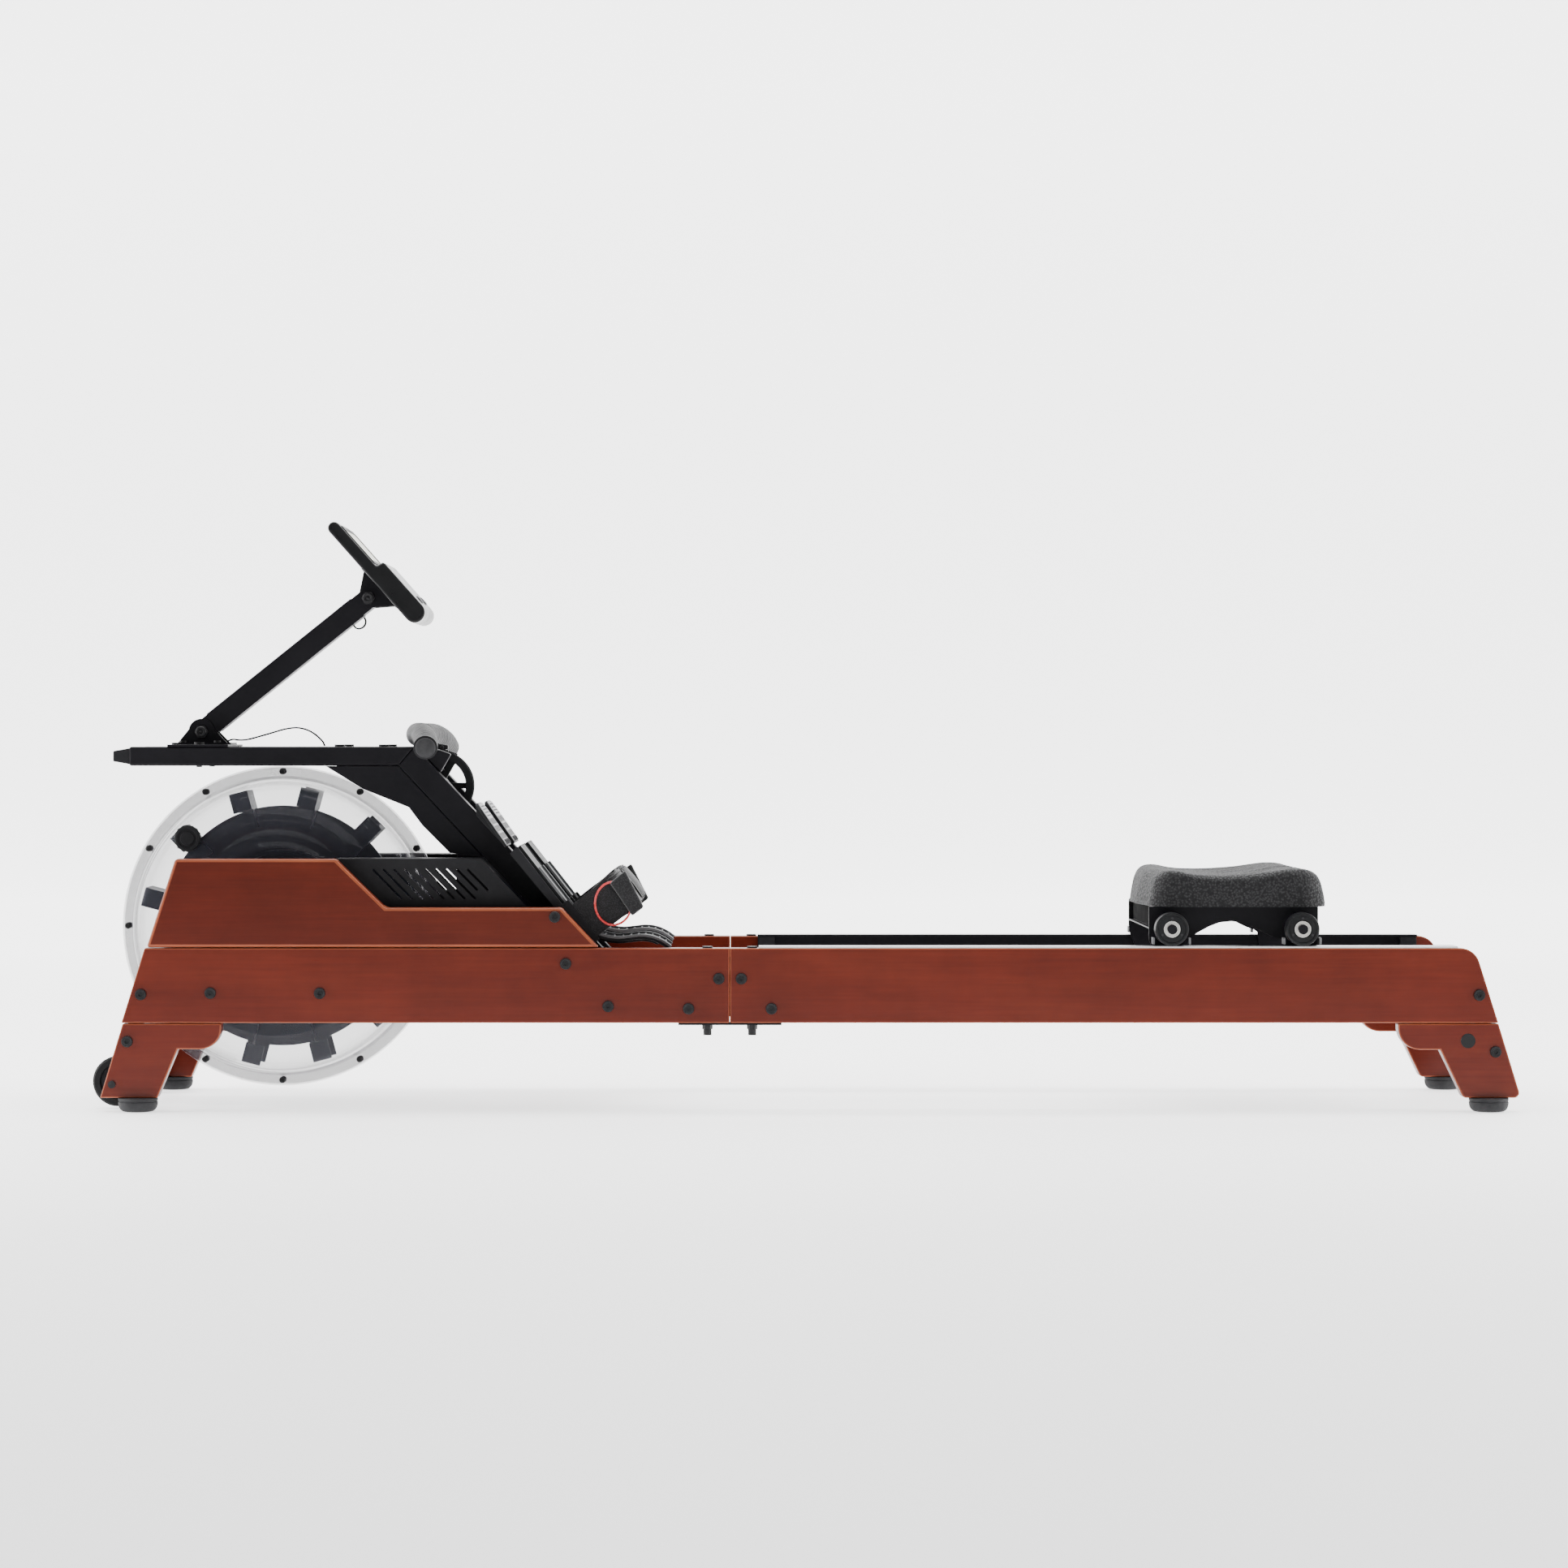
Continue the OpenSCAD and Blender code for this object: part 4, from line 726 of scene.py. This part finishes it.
for x, label in ((494.7, "front"), (669.9, "rear")):
    wheel_body = label + "_seat_wheels"
    tyres = [lathe(profile, x, AXLE_Z, 72, closed=True) for profile in two_sides(TYRE_PROFILE)]
    rings = [lathe(profile, x, AXLE_Z, 48, closed=True) for profile in two_sides(BEARING_PROFILE)]
    spots = [bar(px, pz, s * 184, s * 186, 1.7, 16, 0.3) for s in (-1, 1)
             for px, pz in arc(x, AXLE_Z, 14.9, 90, 330, 2)]
    make(label + "_seat_wheel_tyres", tyres, urethane, wheel_body, "wheel_urethane", wheel_body, angle=30)
    make(label + "_seat_wheel_bearings", rings, zinc, wheel_body, "zinc_steel", angle=30)
    make(label + "_seat_wheel_plugs", spots, rubber, wheel_body, "wheel_urethane", angle=30)
    nuts = [lathe(profile, x, AXLE_Z, 6) for profile in two_sides(NUT_PROFILE)]
    make(label + "_seat_axle_nuts", nuts, fastener, "seat", "black_fasteners", angle=25)
    wipers = []
    for s in (-1, 1):
        for d in (-1, 1):
            wipers.append(block(x + d * 24.2 - 1.5, x + d * 24.2 + 1.5, s * 164, s * 181, 224.0, 233.0))
    make(label + "_wheel_wipers", wipers, grey_plastic, "seat", "grey_plastic", bevel=0.6, segs=2)
    guide_body = label + "_guide_rollers"
    rollers = [lathe(profile, x, ROLLER_Z, 56, closed=True) for profile in two_sides(ROLLER_PROFILE)]
    make(guide_body + "_pair", rollers, urethane, guide_body, "wheel_urethane", guide_body, angle=30)

# The front cross channel between thin lips: the near-black sheet in its hollow is painted shade, standing for
# the shadow inside the channel
make("carriage_hollow_painted_shade", [block(473.1, 473.9, -139.8, 139.8, 245.6, 271.4)], hollow_painted_shade, "seat",
     "black_steel", bevel=0.3)
lips = [block(467.6, 473.6, -140.2, 140.2, 242.8, 245.0), block(467.6, 473.6, -144.2, -140.4, 232, 272.6),
        block(467.6, 473.6, 140.4, 144.2, 232, 272.6)]
make("carriage_lips", lips, black_steel, "seat", "black_steel", bevel=0.7, segs=2)

# ------------------------------------------------------------- footrests

FOOT = Matrix.Translation((-381, -98, 356.5)) @ Matrix.Rotation(math.radians(52), 4, "Y")
heel_points = [
    (-381, 356.5), (-344.5, 309.7), (-308, 263), (-297, 250.5), (-284, 240), (-268, 233), (-250, 230),
    (-233, 231.5), (-218, 233), (-204, 231.5), (-190, 226), (-178, 218),
]


def offset(line, d):
    """The side-view line moved d to its upper side."""
    out = []
    for i, p in enumerate(line):
        a, b = line[max(0, i - 1)], line[min(len(line) - 1, i + 1)]
        t = Vector((b[0] - a[0], b[1] - a[1])).normalized()
        out.append((p[0] - t.y * d, p[1] + t.x * d))
    return out


heel_line = [(p.x, p.y) for p in curve_through([(x, z, 0) for x, z in heel_points], 6)]
sheet_part = prism(heel_line + offset(heel_line, -4)[::-1], -98 - 48, -98 + 48)
rims = []
for y0, y1 in ((-146, -141.5), (-54.5, -50)):
    part_line = heel_line[4:]
    rims.append(prism(offset(part_line, -0.6) + offset(part_line, 3.2)[::-1], y0, y1))
treads = []
for k in range(10, len(heel_line) - 4, 4):
    x, z = offset(heel_line, 0.1)[k]
    treads.append(bar(x, z, -139, -57, 1.5, 12, 0.5))
under = []
low_line = offset(heel_line, -7)[24:60]
under.append(prism(low_line + offset(heel_line, -3.6)[24:60][::-1], -132, -64))
for label, body in (("left", "left_heel"), ("right", "right_heel")):
    flip = (lambda p: p) if label == "left" else mirrored
    make(label + "_heel_rest", [flip(sheet_part)], black_plastic, body, "black_plastic",
         label + "_heel_slider",
         bevel=1.1, segs=3, angle=45)
    make(label + "_heel_rims", [flip(p) for p in rims], grey_plastic, body, "grey_plastic", bevel=0.9,
         segs=3, angle=45)
    make(label + "_heel_spine", [flip(p) for p in under], black_plastic, body, "black_plastic", bevel=0.8,
         segs=2)
    make(label + "_heel_treads", [flip(p) for p in treads], rubber, body, "foot_rubber", angle=40)

ARCH_STEPS = 72


def arch(half_w, height, base):
    """A squared arch over the foot, as (y, height) points in the foot's frame."""
    out = []
    for i in range(ARCH_STEPS + 1):
        a = math.pi * i / ARCH_STEPS
        c = math.cos(a)
        out.append((math.copysign(abs(c) ** 0.5, c) * half_w if abs(c) > 1e-9 else 0.0,
                    base + height * max(0.0, math.sin(a)) ** 0.5))
    return out


def band(half_w, height, base, thick, s0, s1, first=0, last=ARCH_STEPS, wave=0.0, cells=14):
    """A strap over the foot: an arch in the foot frame, carried along the foot from s0 to s1."""
    outer, inner = arch(half_w, height, base), arch(half_w - thick, height - thick, base)
    outer, inner = outer[first:last + 1], inner[first:last + 1]
    ring_line = outer + inner[::-1]
    n = len(ring_line)
    verts, faces = [], []
    for j in range(cells + 1):
        u = j / cells
        for i, (y, h) in enumerate(ring_line):
            k = i if i < len(outer) else n - 1 - i
            sag = wave * math.sin(k * 0.31 + u * 2.2) * math.sin(math.pi * u)
            edge = wave * 1.6 * math.sin(k * 0.23 + 1.3) * (u - 0.5)
            lift = 1 - 0.012 * (2 * u - 1) ** 2
            rise = base + (h - base) * lift + 0.35 * sag
            verts.append((s0 + (s1 - s0) * u + edge, y * (1 + 0.004 * sag), rise))
    faces.append(tuple(range(n)))
    faces.append(tuple(range(n * (cells + 1) - 1, n * cells - 1, -1)))
    for j in range(cells):
        for i in range(n):
            k = (i + 1) % n
            faces.append((j * n + i, j * n + k, (j + 1) * n + k, (j + 1) * n + i))
    return moved((verts, faces), FOOT)


strap = band(54, 74, 6.8, 2.6, 106, 162, wave=1.0)
flap = band(56.6, 76.8, 6.8, 2.3, 108.5, 159.5, first=9, last=58, wave=1.8)
tip = band(59.2, 79.2, 6.8, 2.1, 111, 157, first=14, last=36, wave=1.4)
pair("foot_strap", [strap], strap_web, "frame", "strap_webbing", "foot_straps", angle=50)
pair("strap_flap", [flap], strap_web, "frame", "strap_webbing", angle=50)
pair("strap_tip", [tip], strap_web, "frame", "strap_webbing", angle=50)
stitches = []
for s in (109.5, 158.5):
    for k in range(15, 56, 2):
        y, h = arch(56.9, 77.0, 6.8)[k]
        y2, h2 = arch(56.9, 77.0, 6.8)[k + 1]
        thread = [(s + 1.6, y, h), (s + 1.6, y + (y2 - y) * 0.7, h + (h2 - h) * 0.7)]
        stitches.append(moved(tube(thread, 0.45, 8, (1, 0, 0)), FOOT))
pair("strap_stitching", stitches, cable_skin, "frame", "strap_webbing", angle=50)


def wire_ring(cx, cy, cz, rx, rz, r, n=72, sides=16):
    verts, faces = [], []
    for i in range(n):
        a = 2 * math.pi * i / n
        d = Vector((math.cos(a), 0, math.sin(a)))
        centre = Vector((cx + rx * math.cos(a), cy, cz + rz * math.sin(a)))
        for k in range(sides):
            b = 2 * math.pi * k / sides
            verts.append(tuple(centre + d * (r * math.cos(b)) + Vector((0, r * math.sin(b), 0))))
    for i in range(n):
        for k in range(sides):
            i2, k2 = (i + 1) % n, (k + 1) % sides
            faces.append((i * sides + k, i * sides + k2, i2 * sides + k2, i2 * sides + k))
    return verts, faces


pair("pull_ring", [wire_ring(-255, -154.6, 278, 24.6, 29, 1.5)], red_wire, "frame", "ring_red", "strap_rings",
     angle=80)
# The strap's free end, folded over the ring
fold = [(-259.6, 305.7), (-239.0, 322.6), (-213.8, 273.2), (-229.5, 261.0)]
pair("strap_fold", [prism(fold, -159.5, -149.5)], strap_web, "frame", "strap_webbing", bevel=3.0, segs=4)

PLATE_LEN, PLATE_HALF_W, PLATE_CORNER = 71, 55, 22
PLATE = Matrix.Translation((-439.3, -98, 413.2)) @ Matrix.Rotation(math.radians(54.9), 4, "Y")


def rounded_plate(length, half, radius, h0, h1, inset=0.0):
    """A flat plate in the foot plate's frame, with round upper corners."""
    pts = [(length - inset, -half + inset), (length - inset, half - inset)]
    pts += arc(radius, half - radius, radius - inset, 90, 180, 10)
    pts += arc(radius, -half + radius, radius - inset, 180, 270, 10)
    n = len(pts)
    verts = [(x, y, h0) for x, y in pts] + [(x, y, h1) for x, y in pts]
    faces = [tuple(range(n)), tuple(range(2 * n - 1, n - 1, -1))]
    faces += [(k, (k + 1) % n, (k + 1) % n + n, k + n) for k in range(n)]
    return verts, faces


core = rounded_plate(PLATE_LEN, PLATE_HALF_W, PLATE_CORNER, -3.4, 0.2)
pair("foot_plate_core", [moved(core, PLATE)], black_plastic, "frame", "black_plastic", "foot_plates",
     bevel=0.8, segs=2)
face = rounded_plate(PLATE_LEN - 1.5, PLATE_HALF_W, PLATE_CORNER, 0.15, 1.1, 1.6)
pair("foot_plate_face", [moved(face, PLATE)], plate_print, "frame", "grey_plastic", bevel=0.3, segs=2)
marks = []
for row, s in enumerate((7, 12, 17, 22)):
    for y in range(-40 + 4 * (row % 2), 41, 8):
        if row or abs(y) < 34:
            marks.append(moved(block(s - 0.9, s + 0.9, y - 0.9, y + 0.9, 1.0, 1.35), PLATE))
for s in (27, 39, 51):
    for y in range(-44, 45, 11):
        marks.append(moved(block(s, s + 9, y - 1.2, y + 1.2, 1.0, 1.35), PLATE))
for y in range(-40, 41, 16):
    ring_part = lathe(
        [(2.2, 1.0), (3.9, 1.0), (3.9, 1.7), (3.4, 2.1), (2.7, 2.1), (2.2, 1.7)], 0, 0, 24, closed=True)
    up = Matrix.Translation((65, y, 0)) @ Matrix.Rotation(math.radians(90), 4, "X")
    marks.append(moved(ring_part, PLATE @ up))
pair("foot_plate_grip", marks, rubber, "frame", "foot_rubber", angle=30)

# ---------------------------------------------------- feet, wheels, sticker

FOOT_PROFILE = [
    (0, 0.1), (18.5, 0.1), (20.6, 0.6), (23.6, 3.0), (25.2, 5.6), (26.1, 8.6), (26.5, 11.2), (26.5, 13.0),
    (25.7, 13.5), (25.7, 14.4), (26.5, 14.9), (26.5, 17.6), (26.0, 18.3), (0, 18.4),
]
foot_pads = []
for x in (-891.8, 920):
    for y in (-178, 178):
        stand = Matrix.Translation((x, y, 0)) @ Matrix.Rotation(math.radians(90), 4, "X")
        foot_pads.append(moved(lathe(FOOT_PROFILE, 0, 0, 56), stand))
make("rubber_foot_pads", foot_pads, rubber, "frame", "foot_rubber", "rubber_feet", angle=30)

WHEEL_X, WHEEL_Z = -926, 36.5
TRANSPORT_TYRE = [(24, 111), (31, 111), (33.4, 113), (34, 116), (34, 130), (33.4, 133), (31, 135), (24, 135)]
TRANSPORT_HUB = [
    (5.06, 108), (12, 108), (12, 113), (22.6, 114.5), (24.1, 112), (24.1, 134), (22.6, 131.5), (12, 133),
    (12, 138), (5.06, 138),
]
tyres = [lathe(profile, WHEEL_X, WHEEL_Z, 96, closed=True) for profile in two_sides(TRANSPORT_TYRE)]
hubs = [lathe(profile, WHEEL_X, WHEEL_Z, 72, closed=True) for profile in two_sides(TRANSPORT_HUB)]
make("transport_wheel_tyres", tyres, urethane, "transport_wheels", "wheel_urethane", "transport_wheels",
     angle=35)
make("transport_wheel_hubs", hubs, black_plastic, "transport_wheels", "black_plastic", angle=35)
make("rear_leg_badge", [bar(891.2, 94.9, -185.9, -184.8, 9.7, 64, 0.5)], gloss_black, "frame", "gloss_black",
     angle=30)

# Domed rings on the hexagon heads of the arm's two pivots
RING_PROFILE = [(3.2, 24.4), (7.2, 24.4), (7.4, 25.0), (6.6, 25.9), (4.2, 26.1), (3.4, 25.6)]
PIN_PROFILE = [(0, 24.4), (2.4, 24.4), (2.4, 25.4), (1.8, 25.8), (0, 25.8)]
TILT_X, TILT_Z = -597.35, 693.98
for name, x, z, body in (
    ("arm_pivot_rings", -827.5, 509.6, "frame"),
    ("tilt_pivot_rings", TILT_X, TILT_Z, "arm"),
):
    domes = [lathe(profile, x, z, 40, closed=True) for profile in two_sides(RING_PROFILE)]
    domes += [lathe(profile, x, z, 20) for profile in two_sides(PIN_PROFILE)]
    make(name, domes, fastener, body, "black_fasteners", angle=40)

# ---------------------------------------------------------- cords and belt

# Both routes are in millimetres: the sensor's in the machine's frame, the lead's from the arm's upper pivot
sensor_route = [
    (-792, -22, 496.5), (-784, -23, 499), (-774, -26, 498), (-762, -30, 499), (-746, -35, 503),
    (-728, -40, 508), (-710, -45, 513), (-694, -50, 515), (-681, -54, 513), (-670, -57, 508),
    (-662, -60, 502), (-656, -62, 496), (-653, -63, 490),
]
lead_route = [
    (-40, 0, -15.6), (-40, 0, -20), (-37.5, 1, -23.6), (-32, 2, -25.4), (-26.5, 2, -24),
    (-23, 1, -20.4), (-22, 0, -16.2),
]
ARM_TOP = Matrix.Translation((TILT_X, 0, TILT_Z)) @ Matrix.Rotation(math.radians(-38.7), 4, "Y")
CABLE_R = 1.1


def cable(name, route, body, node, dy, place=None):
    """One thin cable along its route, as a curve of one open spline with two free ends in the object."""
    pts = [Vector(p) + Vector((0, dy, 0)) for p in route]
    if place is not None:
        pts = [place @ p for p in pts]
    pts = [p * MM for p in curve_through(pts, 3)]
    data = bpy.data.curves.new(name, "CURVE")
    data.dimensions = "3D"
    data.bevel_depth = CABLE_R * MM
    data.bevel_resolution = 5
    data.use_fill_caps = True
    line = data.splines.new("POLY")
    line.points.add(len(pts) - 1)
    for k, p in enumerate(pts):
        line.points[k].co = (*p, 1)
    line.use_smooth = True
    o = bpy.data.objects.new(name, data)
    bpy.context.scene.collection.objects.link(o)
    data.materials.append(cable_skin)
    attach(o, body)
    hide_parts(node)
    return o


for label, dy in (("outer", 0), ("inner", 4)):
    cable("sensor_wire_" + label, sensor_route, "frame", "sensor_cable", dy)
for label, dy in (("outer", -4), ("inner", 2)):
    cable("monitor_wire_" + label, lead_route, "arm", "monitor_lead", dy, ARM_TOP)

DRUM, PULLEY = Vector((-440, 232)), Vector((-501, 435))
DRUM_R, PULLEY_R = 50.4, 47.4
across = PULLEY - DRUM
tangent = math.degrees(math.atan2(across.y, across.x) - math.acos((DRUM_R + PULLEY_R + 2) / across.length))


def belt_line(lift):
    """The belt's line from the drum over the guide pulley to the handle, lift mm out from the drum's face."""
    drum_side = arc(DRUM.x, DRUM.y, DRUM_R + lift, -150, tangent, 40)
    pulley_side = arc(PULLEY.x, PULLEY.y, PULLEY_R + 2 - lift, tangent + 180, 90, 40)
    a, b = Vector(drum_side[-1]), Vector(pulley_side[0])
    free = [tuple(a.lerp(b, k / 12)) for k in range(1, 12)]
    z = pulley_side[-1][1]
    run = [(-501 + 13 * k / 90, z) for k in range(1, 91)]
    return drum_side + free + pulley_side + run


low, high = belt_line(0.0), belt_line(2.0)
belt_verts, belt_faces = [], []
for (x0, z0), (x1, z1) in zip(low, high):
    belt_verts += [(x0, -9.6, z0), (x0, 9.6, z0), (x1, 9.6, z1), (x1, -9.6, z1)]
for i in range(len(low) - 1):
    for k in range(4):
        j = (k + 1) % 4
        belt_faces.append((4 * i + k, 4 * i + j, 4 * i + 4 + j, 4 * i + 4 + k))
belt_faces += [(3, 2, 1, 0), tuple(len(belt_verts) - 4 + k for k in range(4))]
belt = make("pull_belt", [(belt_verts, belt_faces)], belt_web, "frame", "belt_webbing", "drive_belt",
            angle=40)
belt.parent = None
belt.matrix_world = Matrix.Identity(4)
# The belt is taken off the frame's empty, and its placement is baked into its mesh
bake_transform(belt)

# ---------------------------------------------- CAD nodes kept, refinished


def refinish(node, mat, bevel=0.0, segs=2, angle=40):
    """A CAD node keeps its shape: it takes a detailed finish and softened edges."""
    o = nodes[node]
    if not o.data.materials:
        o.data.materials.append(mat)
    for k in range(len(o.material_slots)):
        o.material_slots[k].link = "OBJECT"
        o.material_slots[k].material = mat
    if bevel:
        w = o.modifiers.new("joined_corners", "WELD")
        w.merge_threshold = 0.00002
        m = o.modifiers.new("rounded_edges", "BEVEL")
        m.width = bevel * MM
        m.segments = segs
        m.limit_method = "ANGLE"
        m.angle_limit = math.radians(angle)
        m.harden_normals = True


for node, mat, bevel in (
    ("cross_boards", wood, 0.0), ("joint_plates", black_steel, 0.5), ("tube_plugs", black_plastic, 1.2),
    ("monitor_mount_plate", black_steel, 0.5), ("post_tubes", black_steel, 2.4),
    ("gusset_plates", black_steel, 0.6),
    ("tank_brackets", black_steel, 0.0), ("vent_covers", black_plastic, 0.3), ("tank_seal", clear_seal, 0.0),
    ("tank_bearings", zinc, 0.0), ("pulley_axles", fastener, 0.0), ("foot_bases", black_plastic, 0.9),
    ("track_strips", aluminium, 0.3), ("track_channels", black_steel, 0.3),
    ("track_end_stops", black_plastic, 0.8), ("frame_bolts", fastener, 0.0), ("frame_nuts", fastener, 0.0),
    ("arm_bracket", black_steel, 0.0), ("transfer_belt", belt_web, 0.0), ("impeller", navy, 0.0),
    ("impeller_shaft", zinc, 0.0), ("transfer_pulley", black_plastic, 0.0),
    ("drive_drum", black_plastic, 0.0), ("guide_pulley", black_plastic, 0.0),
    ("monitor_arm", black_steel, 0.0), ("tilt_pivot_bolt", fastener, 0.0),
    ("monitor_bracket", black_steel, 0.0), ("seat_carriage", black_steel, 0.0),
):
    if not nodes[node].hide_render:
        refinish(node, mat, bevel)

# --------------------------------------------------- floor, light, camera

scene = bpy.context.scene
# A pale floor that sweeps up behind the object
SWEEP_Y, SWEEP_R, SWEEP_HALF = 7.0, 3.0, 18.0
sweep_line = [(-12.0, -0.0005)]
sweep_line += [(SWEEP_Y + SWEEP_R * math.sin(a), SWEEP_R - SWEEP_R * math.cos(a) - 0.0005)
               for a in (math.radians(5 * k) for k in range(19))]
sweep_line.append((SWEEP_Y + SWEEP_R, 14.0))
floor_mesh = bpy.data.meshes.new("floor")
floor_mesh.from_pydata([(x, y, z) for y, z in sweep_line for x in (-SWEEP_HALF, SWEEP_HALF)], [],
                       [(2 * k, 2 * k + 1, 2 * k + 3, 2 * k + 2) for k in range(len(sweep_line) - 1)])
for p in floor_mesh.polygons:
    p.use_smooth = True
floor = bpy.data.objects.new("floor", floor_mesh)
scene.collection.objects.link(floor)
floor_mat, floor_nt, floor_b = new_material("pale_floor", (0.86, 0.86, 0.86), 0.6, spec=0.1)
# The floor glows more towards its back, from GLOW_FROM to GLOW_TO in metres, for the photo's pale ground
GLOW_FROM, GLOW_TO = -1.5, 4.0
axes = floor_nt.nodes.new("ShaderNodeSeparateXYZ")
floor_nt.links.new(coordinates(floor_nt), axes.inputs["Vector"])
depth = floor_nt.nodes.new("ShaderNodeMapRange")
depth.inputs["From Min"].default_value = GLOW_FROM
depth.inputs["From Max"].default_value = GLOW_TO
floor_nt.links.new(axes.outputs["Y"], depth.inputs["Value"])
glow = ramp(floor_nt, depth.outputs["Result"], [(0.0, grey(0.3)), (0.5, grey(0.65)), (1.0, grey(1.0))])
floor_nt.links.new(glow, floor_b.inputs["Emission Color"])
floor_b.inputs["Emission Strength"].default_value = 3.2
floor_mesh.materials.append(floor_mat)

world = bpy.data.worlds.new("studio")
scene.world = world
world.use_nodes = True
world.node_tree.nodes["Background"].inputs["Color"].default_value = (1, 1, 1, 1)
world.node_tree.nodes["Background"].inputs["Strength"].default_value = 0.16


def softbox(name, place, aim, width, height, power, spread=180):
    """A rectangular area light that faces the point it is aimed at."""
    data = bpy.data.lights.new(name, "AREA")
    data.shape = "RECTANGLE"
    data.size, data.size_y = width, height
    data.energy = power
    data.spread = math.radians(spread)
    o = bpy.data.objects.new(name, data)
    scene.collection.objects.link(o)
    o.location = place
    o.rotation_euler = (Vector(aim) - Vector(place)).to_track_quat("-Z", "Y").to_euler()


softbox("left_softbox", (-3.4, -0.3, 1.2), (-0.3, 0, 0.3), 2.2, 2.6, 150)
softbox("right_softbox", (3.6, -0.3, 1.2), (0.3, 0, 0.3), 2.2, 2.6, 150)
softbox("top_softbox", (0.0, 0.2, 3.0), (0.0, 0, 0.2), 4.6, 1.6, 190)
softbox("front_fill", (-0.4, -5.4, 3.0), (0, 0, 0.3), 3.4, 1.4, 42)

cam_data = bpy.data.cameras.new("camera")
cam_data.sensor_width = 36
cam_data.lens = 94.2
cam_data.shift_x = 0.030
cam_data.shift_y = -0.028
cam_data.dof.use_dof = False
camera = bpy.data.objects.new("camera", cam_data)
camera.location = (-0.0884, -5.682, 0.498)
camera.rotation_euler = (math.radians(90), 0, 0)
scene.collection.objects.link(camera)
scene.camera = camera
